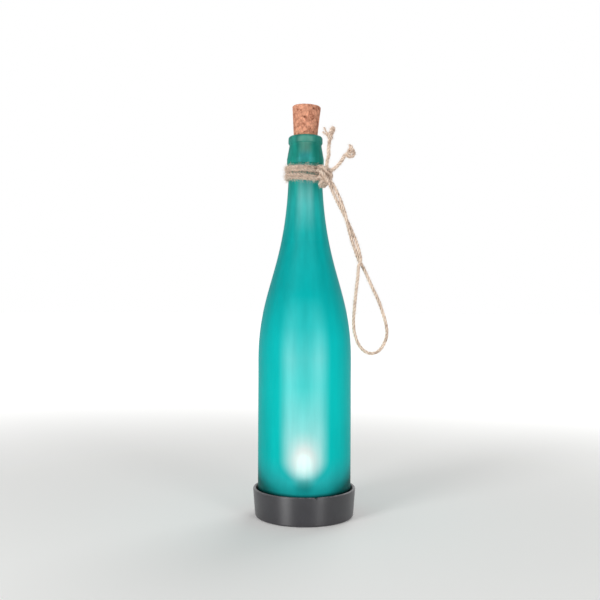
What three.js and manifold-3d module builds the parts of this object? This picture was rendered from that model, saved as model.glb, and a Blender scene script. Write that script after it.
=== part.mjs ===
// Solar bottle lamp: a frosted glass bottle with a cork and a twine hanger, standing in a plastic base
// that holds the light unit. Millimetres, +Z up. The origin is the middle of the standing ring, the front
// of the lamp faces -Y, and the twine hangs on the +X side.
import * as THREE from 'three';
import { mergeVertices } from 'three/addons/utils/BufferGeometryUtils.js';
import { RoundedBoxGeometry } from 'three/addons/geometries/RoundedBoxGeometry.js';
import Module from 'manifold-3d';

const wasm = await Module();
wasm.setup();

// Fits and facets
const FIT = 0.3; // around a piece that sits in another
const SEAT = 0.2; // under a piece that rests on another
const OVERLAP = 0.5; // how far shapes run into each other where one piece is made of several
const BIG_SIDES = 36; // sides of the bottle and of what is concentric with it
const SMALL_SIDES = 16; // sides of screws, bosses and other small round pieces
const ARC_STEP = 22.5; // degrees between the points of a round stretch
const CURVE_STEPS = 10; // steps along the shoulder's curve
const CORNER_STEPS = 3; // steps round the corner of a plate
const MERGE = 1e-4; // points nearer than this are one

// Glass bottle
const BODY_RADIUS = 34.5;
const BODY_WALL = 2.8;
const BODY_HEIGHT = 116; // floor to the start of the shoulder
const SHOULDER_HEIGHT = 131; // start of the shoulder to the foot of the neck
const SHOULDER_LOW_PULL = 52; // how far the shoulder's curve follows the body's side
const SHOULDER_HIGH_PULL = 67; // how far the shoulder's curve follows the neck's slope
const SHOULDER_LEAN = 0.045; // radius gained per millimetre down the neck's slope
const NECK_RADIUS = 12.45;
const NECK_FOOT_FLARE = 0.28; // extra radius where the neck meets the shoulder
const NECK_HEIGHT = 13.5; // foot of the neck to the collar
const NECK_BORE_RADIUS = 9.05;
const COLLAR_RADIUS = 13.75;
const COLLAR_HEIGHT = 4.1;
const THROAT_RADIUS = 11.9; // narrowest place, under the lip
const THROAT_HEIGHT = 10.6;
const LIP_RADIUS = 12.75;
const LIP_HEIGHT = 6.8;
const LIP_ROUND = 2.1;
const MOUTH_ROUND = 0.8;
const BOTTLE_EDGE_ROUND = 0.8;

// Cork
const CORK_TOP_RADIUS = 10.6;
const CORK_STAND = 22.5; // height above the lip
const CORK_DEPTH = 14.5; // length inside the neck
const CORK_FIT = 0.2; // to the mouth of the bottle
const CORK_CHAMFER = 0.7;
const CORK_LEAN = THREE.MathUtils.degToRad(2); // pushed in a little askew

// Base cup
const CUP_HEIGHT = 21.3;
const CUP_WALL = 2.2;
const CUP_DRAFT = 1.4; // the foot's radius is this much less than the rim's
const CUP_FOOT_ROUND = 1.8;
const RIM_GAP = 1.3; // between the glass and the rim
const SEAT_DEPTH = 12.5; // how far the bottle goes below the rim
const STANDING_RING = 3.4; // width of the raised ring the lamp stands on
const UNDERSIDE_RECESS = 1.4;
const FLOOR = 1.8;
const SPIGOT_FIT = 0.5; // between the spigot and the inside of the bottle
const SPIGOT_WALL = 2.4;
const SPIGOT_CHAMFER = 0.4;

// Seals
const GASKET_THICKNESS = 1.2;
const O_RING_THICKNESS = 1.6;
const O_RING_HEIGHT = 13; // floor to the middle of the ring
const O_RING_SIDES = 6;

// Solar panel in the underside
const WINDOW_MARGIN = 3; // between the window's corners and the standing ring
const WINDOW_THICKNESS = 1.2;
const WINDOW_LEDGE = 1.2; // strip of cup that the window is glued to
const WINDOW_CORNER = 1.5;
const PANEL_THICKNESS = 1.2;
const PANEL_CORNER = 0.8;
const POCKET_WALL = 1.3;
const POCKET_ROOF = 1.5;

// Battery, a rechargeable cell of two thirds AAA size
const BATTERY_RADIUS = 5.15;
const BATTERY_LENGTH = 28.5; // without the raised end
const BATTERY_NUB_RADIUS = 1.9;
const BATTERY_NUB_LENGTH = 1;
const BATTERY_EDGE = 0.6;
const BATTERY_SIDES = 24;
const HOLDER_WALL = 1.1;
const HOLDER_SIDE_HEIGHT = 1.2; // how far the holder's sides reach above the cell's middle
const CONTACT_THICKNESS = 0.4;
const CONTACT_WIDTH = 7;
const CONTACT_TAB = 1.6; // how far a contact stands above the holder's sides
const SPRING_LENGTH = 3.2;
const SPRING_WIRE = 0.6;
const SPRING_CURLS = 2.5;
const SPRING_WIDE_RADIUS = 3.4;
const SPRING_NARROW_RADIUS = 2.2;
const SPRING_STEPS = 8; // steps in a curl
const SPRING_SIDES = 5;

// Circuit board
const BOARD_WIDTH = 28;
const BOARD_DEPTH = 17.75;
const BOARD_THICKNESS = 1.6;
const BOARD_CORNER = 1;
const BOARD_LED_EDGE = 0.5; // from the board's front edge to the LED's legs
const BOARD_BOSS_HEIGHT = 2;
const BOARD_BOSS_RADIUS = 2.2;
const BOARD_HOLE_INSET = 3;
const CHIP_SIZE = [4, 5, 1.5];
const CHIP_POSITION = [3.5, 9.3]; // from the middle of the board's front edge
const COIL_RADIUS = 1.6;
const COIL_LENGTH = 6.5;
const COIL_POSITION = [-5.5, 9.3];

// Light
const LED_RADIUS = 2.5;
const LED_HEIGHT = 8.6;
const LED_FLANGE_RADIUS = 2.9;
const LED_FLANGE_HEIGHT = 1;
const LED_LEG = 0.5;
const LED_LEG_PITCH = 2.54;
const SOCKET_RADIUS = 6.6;
const SOCKET_HEIGHT = 2.8;
const SOCKET_NECK_RADIUS = 3.9;
const SOCKET_NECK_DEPTH = 2.8;
const SOCKET_BORE_RADIUS = 2;
const DIFFUSER_RADIUS = 5.8;
const DIFFUSER_WALL = 1.5;
const DIFFUSER_HEIGHT = 22.5;
const DIFFUSER_DOME = 8; // height of the rounded end

// Tray cover over the electronics
const TRAY_THICKNESS = 1.6;
const TRAY_EDGE = 0.2; // the cover's edge stays this far inside the spigot's
const TRAY_LIP_HEIGHT = 2;
const TRAY_LIP_WALL = 1.2;
const BATTERY_HEADROOM = 0.5;

// Screws
const TRAY_SCREW_BEARINGS = [90, 180, 270]; // degrees around the base, away from the switch
const TRAY_SCREW_RADIUS = 1;
const TRAY_SCREW_HEAD_RADIUS = 2;
const TRAY_SCREW_HEAD_HEIGHT = 1.3;
const TRAY_SCREW_LENGTH = 11.5;
const TRAY_BOSS_RADIUS = 2.8;
const TRAY_BOSS_HEIGHT = 7;
const TRAY_PILLAR_RADIUS = 2.1;
const BOARD_SCREW_RADIUS = 0.8;
const BOARD_SCREW_HEAD_RADIUS = 1.8;
const BOARD_SCREW_HEAD_HEIGHT = 1.1;
const BOARD_SCREW_LENGTH = 2.9;
const SLOT_WIDTH = 0.5;
const SLOT_DEPTH = 0.5;

// Slide switch
const SWITCH_WIDTH = 3.6;
const SWITCH_LENGTH = 8.6;
const SWITCH_HEIGHT = 3.4;
const SWITCH_PIN = 0.6;
const SWITCH_PIN_PITCH = 4;
const SWITCH_TRAVEL = 2;
const KNOB_STEM = [1.6, 2.6];
const KNOB_PAD = [3.2, 3.6, 0.8];

// Wires
const WIRE_DIAMETER = 1.2;
const WIRE_SIDES = 6;
const WIRE_PITCH = 3;
const WIRE_STEPS = 3; // steps from one point of a wire's route to the next
const WIRE_LEAD = 0.9; // straight length at the end of a wire
const WIRE_ARCH = 3; // how high a wire rises above the board
const WIRE_TAB_SHIFT = 2.3; // from the middle of a contact to the wire on it

// Twine
const TWINE_DIAMETER = 2.15;
const TWINE_SIDES = 8;
const WRAP_TURNS = 3.5; // from the side of the knot round to the back of the neck
const WRAP_GAP = 0.5;
const WRAP_STEPS = 24; // steps in a turn
const WRAP_SIDES = 6;
const WRAP_END_STEPS = 4; // steps along the straight ends at the knot
const WRAP_CROSSING_DROP = 2.9; // how far the last strand comes down on its way over the others
const KNOT_HALF = [4.9, 3.2, 8.6];
const KNOT_ROUND = 2.4;
const KNOT_ROUND_STEPS = 2;
const KNOT_BEARING = THREE.MathUtils.degToRad(-47);
const KNOT_RAISE = 0.9; // the knot's middle above the lowest strand
const PAIR_GAP = 0.56; // between the two strands of the twisted pair
const PAIR_STEPS = 18;
const PAIR_TWIST_START = THREE.MathUtils.degToRad(-48);
const PAIR_TWIST_END = THREE.MathUtils.degToRad(270);
const LOOP_STEPS = 80;
const LOOP_EXIT = [1.6, -2.9]; // right of and below the middle of the knot's front
const TAIL_STEPS = 12;
const TAIL_KNOT_SIDES = 10;
const TAIL_KNOT_RINGS = 7;

// Middle of the twisted pair, from its exit in front of the knot down to where the loop opens
const PAIR_ROUTE = [
  [0, 0, 0], [0, -2.2, 0], [0.9, -4.7, -1.4], [2.8, -5.7, -5], [5.6, -5.5, -11],
  [11.1, -4.4, -23], [16.3, -2.9, -36.9], [20.8, -1.4, -49.4], [23.5, -0.4, -58.4],
];

// The open loop, from the exit in front of the knot: down its near side, round and up the far side
const LOOP_ROUTE = [
  [22.8, -2.2, -62.4], [22.1, -1.6, -70.4], [20.8, 0, -82.7], [19.7, 1.2, -96.2], [19.3, 1.6, -104.5],
  [20.1, 1.8, -111.5], [22.4, 2, -118.4], [26.1, 2.1, -123.7], [31.7, 2.1, -126.4], [37.3, 2.1, -124.9],
  [41.3, 2, -119.8], [43.6, 1.8, -112.9], [43.2, 1.7, -106.4], [40.7, 1.5, -97.2], [37.1, 1.3, -87.1],
  [33.6, 1.3, -79.8], [29.9, 1.4, -71.8], [26.6, 1.6, -64.6],
];

// Tails, from the middle of the face of the knot that each leaves
const TAIL_UP_ROUTE = [
  [1.2, 0.4, 0], [1.4, 0.4, 2.4], [2.5, 0.8, 6.4], [2.4, 1, 10.5], [2.9, 1.2, 15.7], [3.1, 1.3, 17.9],
];
const TAIL_UP_KNOT = { middle: [3.4, 1.4, 22.8], radii: [3, 2.6, 4.6] };
const TAIL_SIDE_ROUTE = [
  [0, 0.6, 4.8], [2.4, 0.6, 5.4], [5.2, 1, 9.3], [7.6, 1.4, 12.7], [9, 1.6, 15.2],
];
const TAIL_SIDE_KNOT = { middle: [12.6, 1.8, 17.7], radii: [3.5, 2.9, 4.8] };

// Heights and radii that follow from the sizes above
const shoulderZ = BODY_HEIGHT;
const neckZ = shoulderZ + SHOULDER_HEIGHT;
const collarZ = neckZ + NECK_HEIGHT;
const collarTopZ = collarZ + COLLAR_HEIGHT;
const throatZ = collarTopZ + THROAT_HEIGHT;
const lipTopZ = throatZ + LIP_HEIGHT;
const bottleBottomZ = CUP_HEIGHT - SEAT_DEPTH;
const bodyInnerRadius = BODY_RADIUS - BODY_WALL;
const rimRadius = BODY_RADIUS + RIM_GAP + CUP_WALL;
const footRadius = rimRadius - CUP_DRAFT;
const undersideRadius = footRadius - STANDING_RING;
const floorZ = UNDERSIDE_RECESS + FLOOR;
const gasketZ = bottleBottomZ - SEAT - GASKET_THICKNESS;
const channelZ = gasketZ - SEAT;
const channelRadius = footRadius + CUP_DRAFT * (channelZ / CUP_HEIGHT) - CUP_WALL;
const spigotRadius = bodyInnerRadius - SPIGOT_FIT;
const spigotBoreRadius = spigotRadius - SPIGOT_WALL;
const windowHalf = (undersideRadius - WINDOW_MARGIN) / Math.SQRT2;
const windowZ = UNDERSIDE_RECESS + SEAT;
const ledgeZ = windowZ + WINDOW_THICKNESS + SEAT;
const panelHalf = windowHalf - WINDOW_LEDGE - FIT;
const panelZ = ledgeZ;
const panelTopZ = panelZ + PANEL_THICKNESS;
const pocketZ = panelTopZ + SEAT;
const shelfZ = pocketZ + POCKET_ROOF;
const shelfHalf = windowHalf + FIT + POCKET_WALL;
const holderZ = shelfZ + SEAT;
const batteryZ = holderZ + HOLDER_WALL + SEAT + BATTERY_RADIUS;
const holderTopZ = batteryZ + HOLDER_SIDE_HEIGHT;
const spigotTopZ = batteryZ + BATTERY_RADIUS + BATTERY_HEADROOM;
const trayZ = spigotTopZ + SEAT;
const trayTopZ = trayZ + TRAY_THICKNESS;
const socketZ = trayTopZ + SEAT;
const socketTopZ = socketZ + SOCKET_HEIGHT;
const ledZ = socketTopZ - LED_FLANGE_HEIGHT;
const boardZ = shelfZ + BOARD_BOSS_HEIGHT + SEAT;
const boardTopZ = boardZ + BOARD_THICKNESS;
const boardFrontY = -LED_LEG / 2 - BOARD_LED_EDGE;
const boardBackY = boardFrontY + BOARD_DEPTH;
const holderY = boardFrontY - SEAT - HOLDER_WALL - FIT - BATTERY_RADIUS;
const traySeatZ = floorZ + SEAT; // where the heads of the tray screws stop
const trayScrewCircle = spigotBoreRadius - TRAY_PILLAR_RADIUS - FIT;
const trayBossTopZ = floorZ + TRAY_BOSS_HEIGHT;
const trayScrewTopZ = traySeatZ - SEAT + TRAY_SCREW_LENGTH;
const switchX = shelfHalf + FIT + SWITCH_WIDTH / 2;
const switchZ = floorZ + SEAT;
const switchTopZ = switchZ + SWITCH_HEIGHT;
const batteryNegativeX = -BATTERY_LENGTH / 2 + (SPRING_LENGTH - BATTERY_NUB_LENGTH) / 2;
const batteryPositiveX = batteryNegativeX + BATTERY_LENGTH + BATTERY_NUB_LENGTH;
const plusContactX = batteryPositiveX + SEAT;
const minusContactX = batteryNegativeX - 2 * SEAT - SPRING_LENGTH - CONTACT_THICKNESS;
const holderInnerMinX = minusContactX - SEAT;
const holderInnerMaxX = plusContactX + CONTACT_THICKNESS + SEAT;
const wrapRadius = NECK_RADIUS + SEAT + TWINE_DIAMETER / 2;
const wrapPitch = TWINE_DIAMETER + WRAP_GAP;
const wrapTopZ = collarZ - FIT - TWINE_DIAMETER / 2;
const wrapBottomZ = wrapTopZ - WRAP_TURNS * wrapPitch;
const knotCorner = wrapRadius + TWINE_DIAMETER / 2 + FIT + KNOT_ROUND;
const knotMiddle = new THREE.Vector3(
  knotCorner * Math.cos(KNOT_BEARING) + KNOT_HALF[0] - KNOT_ROUND,
  knotCorner * Math.sin(KNOT_BEARING) - KNOT_HALF[1] + KNOT_ROUND,
  wrapBottomZ + KNOT_RAISE,
);
const pairRadius = (TWINE_DIAMETER + PAIR_GAP) / 2;

const FINISH = {
  frostedGlass: { color: 0x14a8a2, roughness: 0.55, metalness: 0 },
  cork: { color: 0xc99a74, roughness: 0.9, metalness: 0 },
  charcoalPlastic: { color: 0x3a393d, roughness: 0.45, metalness: 0 },
  whitePlastic: { color: 0xdedcd5, roughness: 0.5, metalness: 0 },
  blackPlastic: { color: 0x1b1b1d, roughness: 0.5, metalness: 0 },
  clearPlastic: { color: 0xe6eef0, roughness: 0.1, metalness: 0 },
  milkyPlastic: { color: 0xf4f6f2, roughness: 0.4, metalness: 0 },
  siliconBlue: { color: 0x16244f, roughness: 0.3, metalness: 0.2 },
  rubber: { color: 0x202022, roughness: 0.8, metalness: 0 },
  boardGreen: { color: 0x1d5b3a, roughness: 0.5, metalness: 0 },
  coilGreen: { color: 0x3f8a5a, roughness: 0.4, metalness: 0 },
  batterySleeve: { color: 0x2f7a4c, roughness: 0.35, metalness: 0.1 },
  steel: { color: 0xb9bcc0, roughness: 0.3, metalness: 1 },
  redWire: { color: 0xa8231c, roughness: 0.5, metalness: 0 },
  blackWire: { color: 0x18181a, roughness: 0.5, metalness: 0 },
  twine: { color: 0xd2b48c, roughness: 0.95, metalness: 0 },
};

// Points of an outline, as radius and height
function outline(...points) {
  return points.map(([radius, z]) => new THREE.Vector2(radius, z));
}

// Points of a round stretch of an outline, by its centre, its radii and its angles in degrees
function arc(centre, radii, fromDegrees, toDegrees, stepDegrees = ARC_STEP) {
  const steps = Math.ceil(Math.abs(toDegrees - fromDegrees) / stepDegrees);
  const points = [];
  for (let step = 0; step <= steps; step += 1) {
    const angle = THREE.MathUtils.degToRad(THREE.MathUtils.lerp(fromDegrees, toDegrees, step / steps));
    points.push([centre[0] + radii[0] * Math.cos(angle), centre[1] + radii[1] * Math.sin(angle)]);
  }
  return points;
}

// A solid turned round +Z from an outline that runs up its outer side
function turned(points, sides = BIG_SIDES) {
  const geometry = new THREE.LatheGeometry(outline(...points), sides);
  geometry.rotateX(Math.PI / 2);
  return geometry;
}

// A ring turned round +Z from an outline that closes on itself
function turnedRing(points, sides = BIG_SIDES) {
  return turned([...points, points[0]], sides);
}

// An upright round bar
function bar(radius, fromZ, toZ, sides = SMALL_SIDES) {
  return turned([[0, fromZ], [radius, fromZ], [radius, toZ], [0, toZ]], sides);
}

// A block by its size, its middle in plan and its lower and upper height
function block(sizeX, sizeY, fromZ, toZ, x = 0, y = 0) {
  const geometry = new THREE.BoxGeometry(sizeX, sizeY, toZ - fromZ);
  geometry.translate(x, y, (fromZ + toZ) / 2);
  return geometry;
}

// A plate with rounded corners, standing on z = 0
function roundedPlate(width, depth, thickness, corner) {
  const x = width / 2 - corner;
  const y = depth / 2 - corner;
  const shape = new THREE.Shape();
  shape.absarc(x, y, corner, 0, Math.PI / 2);
  shape.absarc(-x, y, corner, Math.PI / 2, Math.PI);
  shape.absarc(-x, -y, corner, Math.PI, 1.5 * Math.PI);
  shape.absarc(x, -y, corner, 1.5 * Math.PI, 2 * Math.PI);
  return new THREE.ExtrudeGeometry(shape, {
    depth: thickness,
    bevelEnabled: false,
    curveSegments: CORNER_STEPS,
  });
}

// A solid round cord along a smooth curve through points
function cord(points, diameter, sides, steps) {
  const section = new THREE.Shape();
  for (let side = 0; side < sides; side += 1) {
    const angle = (2 * Math.PI * side) / sides;
    const x = (diameter / 2) * Math.cos(angle);
    const y = (diameter / 2) * Math.sin(angle);
    if (side === 0) {
      section.moveTo(x, y);
    } else {
      section.lineTo(x, y);
    }
  }
  section.closePath();
  const extrudePath = new THREE.CatmullRomCurve3(points, false, 'centripetal');
  return new THREE.ExtrudeGeometry(section, { steps, extrudePath, bevelEnabled: false });
}

// The least gap of a wound cord to itself, between points further apart along it than two diameters
function leastGap(points, diameter) {
  const curve = new THREE.CatmullRomCurve3(points, false, 'centripetal');
  const length = curve.getLength();
  const count = Math.ceil(length / (diameter / 4));
  const spaced = curve.getSpacedPoints(count);
  const skip = Math.ceil((2 * diameter * count) / length);
  let least = Infinity;
  for (let first = 0; first < count; first += 1) {
    for (let second = first + skip; second <= count; second += 1) {
      least = Math.min(least, spaced[first].distanceTo(spaced[second]));
    }
  }
  return least - diameter;
}

function solidOf(geometry) {
  const bare = geometry.clone();
  bare.deleteAttribute('normal');
  bare.deleteAttribute('uv');
  const merged = mergeVertices(bare, MERGE);
  const corners = [];
  for (let index = 0; index < merged.index.count; index += 3) {
    const triangle = [0, 1, 2].map((corner) => merged.index.getX(index + corner));
    if (new Set(triangle).size === 3) {
      corners.push(...triangle);
    }
  }
  const vertProperties = Float32Array.from(merged.attributes.position.array);
  const triVerts = Uint32Array.from(corners);
  return new wasm.Manifold(new wasm.Mesh({ numProp: 3, vertProperties, triVerts }));
}

// One geometry from a shape, the shapes joined to it and the shapes cut from the result
function shaped(base, joins, cuts) {
  let solid = solidOf(base);
  for (const geometry of joins) {
    solid = solid.add(solidOf(geometry));
  }
  for (const geometry of cuts) {
    solid = solid.subtract(solidOf(geometry));
  }
  const mesh = solid.getMesh();
  const geometry = new THREE.BufferGeometry();
  geometry.setAttribute('position', new THREE.BufferAttribute(mesh.vertProperties, 3));
  geometry.setIndex(new THREE.BufferAttribute(mesh.triVerts, 1));
  geometry.computeVertexNormals();
  return geometry;
}

function addPart(group, name, geometry, finish) {
  const mesh = new THREE.Mesh(geometry, new THREE.MeshStandardMaterial(finish));
  mesh.name = name;
  group.add(mesh);
  return mesh;
}

// Places round the base where the tray screws go
const trayScrewPlaces = TRAY_SCREW_BEARINGS.map((degrees) => {
  const angle = THREE.MathUtils.degToRad(degrees);
  return [trayScrewCircle * Math.cos(angle), trayScrewCircle * Math.sin(angle)];
});

// Places on the board where its screws go
const boardMiddleY = (boardFrontY + boardBackY) / 2;
const boardScrewPlaces = [-1, 1].map((side) => [
  side * (BOARD_WIDTH / 2 - BOARD_HOLE_INSET),
  boardBackY - BOARD_HOLE_INSET,
]);

// Places where the solar panel's wires come up through the pocket's roof, behind the board
const panelWireY = (boardBackY + panelHalf) / 2;
const panelWireXs = [-1, 1].map((side) => (side * WIRE_PITCH) / 2);

function bottleGeometry() {
  const shoulder = new THREE.CubicBezierCurve(
    new THREE.Vector2(BODY_RADIUS, shoulderZ),
    new THREE.Vector2(BODY_RADIUS, shoulderZ + SHOULDER_LOW_PULL),
    new THREE.Vector2(
      NECK_RADIUS + NECK_FOOT_FLARE + SHOULDER_LEAN * SHOULDER_HIGH_PULL,
      neckZ - SHOULDER_HIGH_PULL,
    ),
    new THREE.Vector2(NECK_RADIUS + NECK_FOOT_FLARE, neckZ),
  ).getPoints(CURVE_STEPS);
  const innerShoulder = new THREE.CubicBezierCurve(
    new THREE.Vector2(NECK_BORE_RADIUS, neckZ),
    new THREE.Vector2(
      NECK_BORE_RADIUS + SHOULDER_LEAN * SHOULDER_HIGH_PULL,
      neckZ - SHOULDER_HIGH_PULL,
    ),
    new THREE.Vector2(bodyInnerRadius, shoulderZ + SHOULDER_LOW_PULL),
    new THREE.Vector2(bodyInnerRadius, shoulderZ),
  ).getPoints(CURVE_STEPS);
  const collarRise = COLLAR_RADIUS - NECK_RADIUS;
  const lipRise = LIP_RADIUS - THROAT_RADIUS;
  const mouthCentre = [NECK_BORE_RADIUS + MOUTH_ROUND, lipTopZ - MOUTH_ROUND];
  const lipCentre = [LIP_RADIUS - LIP_ROUND, lipTopZ - LIP_ROUND];
  const edge = BOTTLE_EDGE_ROUND;
  return turnedRing([
    [bodyInnerRadius, bottleBottomZ],
    ...arc([BODY_RADIUS - edge, bottleBottomZ + edge], [edge, edge], -90, 0),
    ...shoulder.map((point) => point.toArray()),
    [NECK_RADIUS, neckZ + NECK_HEIGHT / 4],
    [NECK_RADIUS, collarZ],
    ...arc([NECK_RADIUS, collarZ + collarRise], [collarRise, collarRise], -45, 0),
    [COLLAR_RADIUS, collarTopZ],
    [THROAT_RADIUS, throatZ],
    ...arc([THROAT_RADIUS, throatZ + 2 * lipRise], [lipRise, lipRise], -60, 0),
    ...arc(lipCentre, [LIP_ROUND, LIP_ROUND], 0, 90),
    ...arc(mouthCentre, [MOUTH_ROUND, MOUTH_ROUND], 90, 180),
    ...innerShoulder.map((point) => point.toArray()),
  ]);
}

function corkGeometry() {
  const lipRadius = NECK_BORE_RADIUS - CORK_FIT;
  const taper = (CORK_TOP_RADIUS - lipRadius) / CORK_STAND;
  const endRadius = lipRadius - taper * CORK_DEPTH;
  return turned([
    [0, -CORK_DEPTH],
    [endRadius - CORK_CHAMFER, -CORK_DEPTH],
    [endRadius, -CORK_DEPTH + CORK_CHAMFER],
    [CORK_TOP_RADIUS, CORK_STAND - CORK_CHAMFER],
    [CORK_TOP_RADIUS - CORK_CHAMFER, CORK_STAND],
    [0, CORK_STAND],
  ]);
}

function cupGeometry() {
  const rimRound = CUP_WALL / 2;
  const grooveHalf = O_RING_THICKNESS / 2 + SEAT;
  const grooveRadius = bodyInnerRadius - SEAT - O_RING_THICKNESS - SEAT;
  const shell = turned([
    [0, UNDERSIDE_RECESS],
    [undersideRadius, UNDERSIDE_RECESS],
    [undersideRadius, 0],
    ...arc([footRadius - CUP_FOOT_ROUND, CUP_FOOT_ROUND], [CUP_FOOT_ROUND, CUP_FOOT_ROUND], -90, 0),
    ...arc([rimRadius - rimRound, CUP_HEIGHT - rimRound], [rimRound, rimRound], 0, 180),
    [channelRadius, channelZ],
    [spigotRadius, channelZ],
    [spigotRadius, O_RING_HEIGHT - grooveHalf],
    [grooveRadius, O_RING_HEIGHT - grooveHalf],
    [grooveRadius, O_RING_HEIGHT + grooveHalf],
    [spigotRadius, O_RING_HEIGHT + grooveHalf],
    [spigotRadius, spigotTopZ - SPIGOT_CHAMFER],
    [spigotRadius - SPIGOT_CHAMFER, spigotTopZ],
    [spigotBoreRadius, spigotTopZ],
    [spigotBoreRadius, floorZ],
    [0, floorZ],
  ]);
  const belowZ = -OVERLAP;
  const joins = [block(2 * shelfHalf, 2 * shelfHalf, UNDERSIDE_RECESS, shelfZ)];
  const cuts = [
    block(2 * (windowHalf + FIT), 2 * (windowHalf + FIT), belowZ, ledgeZ),
    block(2 * (panelHalf + FIT), 2 * (panelHalf + FIT), belowZ, pocketZ),
    block(
      KNOB_STEM[0] + 2 * FIT,
      KNOB_STEM[1] + SWITCH_TRAVEL + 2 * FIT,
      belowZ,
      floorZ + OVERLAP,
      switchX,
    ),
  ];
  for (const [x, y] of trayScrewPlaces) {
    joins.push(bar(TRAY_BOSS_RADIUS, UNDERSIDE_RECESS, trayBossTopZ).translate(x, y, 0));
    cuts.push(bar(TRAY_SCREW_HEAD_RADIUS + FIT, belowZ, traySeatZ).translate(x, y, 0));
    cuts.push(bar(TRAY_SCREW_RADIUS + FIT, belowZ, trayBossTopZ + OVERLAP).translate(x, y, 0));
  }
  for (const [x, y] of boardScrewPlaces) {
    joins.push(bar(BOARD_BOSS_RADIUS, pocketZ, shelfZ + BOARD_BOSS_HEIGHT).translate(x, y, 0));
    cuts.push(bar(BOARD_SCREW_RADIUS + FIT, shelfZ, boardZ + OVERLAP).translate(x, y, 0));
  }
  for (const x of panelWireXs) {
    cuts.push(bar(WIRE_DIAMETER / 2 + FIT, pocketZ - OVERLAP, shelfZ + OVERLAP).translate(x, panelWireY, 0));
  }
  return shaped(shell, joins, cuts);
}

function gasketGeometry() {
  const inner = spigotRadius + FIT;
  const outer = channelRadius - FIT;
  return turnedRing([
    [inner, gasketZ],
    [outer, gasketZ],
    [outer, gasketZ + GASKET_THICKNESS],
    [inner, gasketZ + GASKET_THICKNESS],
  ]);
}

function oRingGeometry() {
  const half = O_RING_THICKNESS / 2;
  const centre = [bodyInnerRadius - SEAT - half, O_RING_HEIGHT];
  const circle = arc(centre, [half, half], 0, 360, 360 / O_RING_SIDES);
  return turnedRing(circle.slice(0, O_RING_SIDES));
}

function trayGeometry() {
  const radius = spigotRadius - TRAY_EDGE;
  const lipRadius = spigotBoreRadius - FIT;
  const holeRadius = SOCKET_NECK_RADIUS + FIT;
  const plate = turnedRing([
    [holeRadius, trayZ],
    [lipRadius - TRAY_LIP_WALL, trayZ],
    [lipRadius - TRAY_LIP_WALL, trayZ - TRAY_LIP_HEIGHT],
    [lipRadius, trayZ - TRAY_LIP_HEIGHT],
    [lipRadius, trayZ],
    [radius, trayZ],
    [radius, trayTopZ - SPIGOT_CHAMFER],
    [radius - SPIGOT_CHAMFER, trayTopZ],
    [holeRadius, trayTopZ],
  ]);
  const joins = [];
  const cuts = [];
  for (const [x, y] of trayScrewPlaces) {
    joins.push(bar(TRAY_PILLAR_RADIUS, trayBossTopZ + SEAT, trayZ + OVERLAP).translate(x, y, 0));
    cuts.push(bar(TRAY_SCREW_RADIUS + FIT, trayBossTopZ - OVERLAP, trayScrewTopZ + FIT).translate(x, y, 0));
  }
  return shaped(plate, joins, cuts);
}

function socketGeometry() {
  const recess = LED_FLANGE_RADIUS + FIT;
  return turnedRing([
    [SOCKET_BORE_RADIUS, socketZ - SOCKET_NECK_DEPTH],
    [SOCKET_NECK_RADIUS, socketZ - SOCKET_NECK_DEPTH],
    [SOCKET_NECK_RADIUS, socketZ],
    [SOCKET_RADIUS, socketZ],
    [SOCKET_RADIUS, socketTopZ],
    [recess, socketTopZ],
    [recess, ledZ - SEAT],
    [SOCKET_BORE_RADIUS, ledZ - SEAT],
  ], SMALL_SIDES);
}

function ledGeometry() {
  const body = turned([
    [0, ledZ],
    [LED_FLANGE_RADIUS, ledZ],
    [LED_FLANGE_RADIUS, ledZ + LED_FLANGE_HEIGHT],
    [LED_RADIUS, ledZ + LED_FLANGE_HEIGHT],
    ...arc([0, ledZ + LED_HEIGHT - LED_RADIUS], [LED_RADIUS, LED_RADIUS], 0, 90),
  ], SMALL_SIDES);
  const legs = [-1, 1].map((side) => block(
    LED_LEG,
    LED_LEG,
    boardTopZ + SEAT,
    ledZ + OVERLAP,
    (side * LED_LEG_PITCH) / 2,
  ));
  return shaped(body, legs, []);
}

function diffuserGeometry() {
  const bottom = socketTopZ + SEAT;
  const domeZ = bottom + DIFFUSER_HEIGHT - DIFFUSER_DOME;
  const inner = DIFFUSER_RADIUS - DIFFUSER_WALL;
  return turned([
    [0, domeZ + DIFFUSER_DOME - DIFFUSER_WALL],
    ...arc([0, domeZ], [inner, DIFFUSER_DOME - DIFFUSER_WALL], 90, 0).slice(1),
    [inner, bottom],
    [DIFFUSER_RADIUS, bottom],
    ...arc([0, domeZ], [DIFFUSER_RADIUS, DIFFUSER_DOME], 0, 90),
  ], SMALL_SIDES);
}

function boardGeometry() {
  const plate = roundedPlate(BOARD_WIDTH, BOARD_DEPTH, BOARD_THICKNESS, BOARD_CORNER);
  plate.translate(0, boardMiddleY, boardZ);
  const holes = boardScrewPlaces.map(([x, y]) => {
    const hole = bar(BOARD_SCREW_RADIUS + FIT, boardZ - OVERLAP, boardTopZ + OVERLAP);
    return hole.translate(x, y, 0);
  });
  return shaped(plate, [], holes);
}

// A screw pointing up along +Z, with a slot in its head, whose head ends at z = 0
function screwGeometry(radius, length, headRadius, headHeight) {
  const head = bar(headRadius, -headHeight, 0);
  const shank = bar(radius, -OVERLAP, length);
  const slot = block(2 * headRadius + OVERLAP, SLOT_WIDTH, -headHeight - OVERLAP, -headHeight + SLOT_DEPTH);
  return shaped(head, [shank], [slot]);
}

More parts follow.
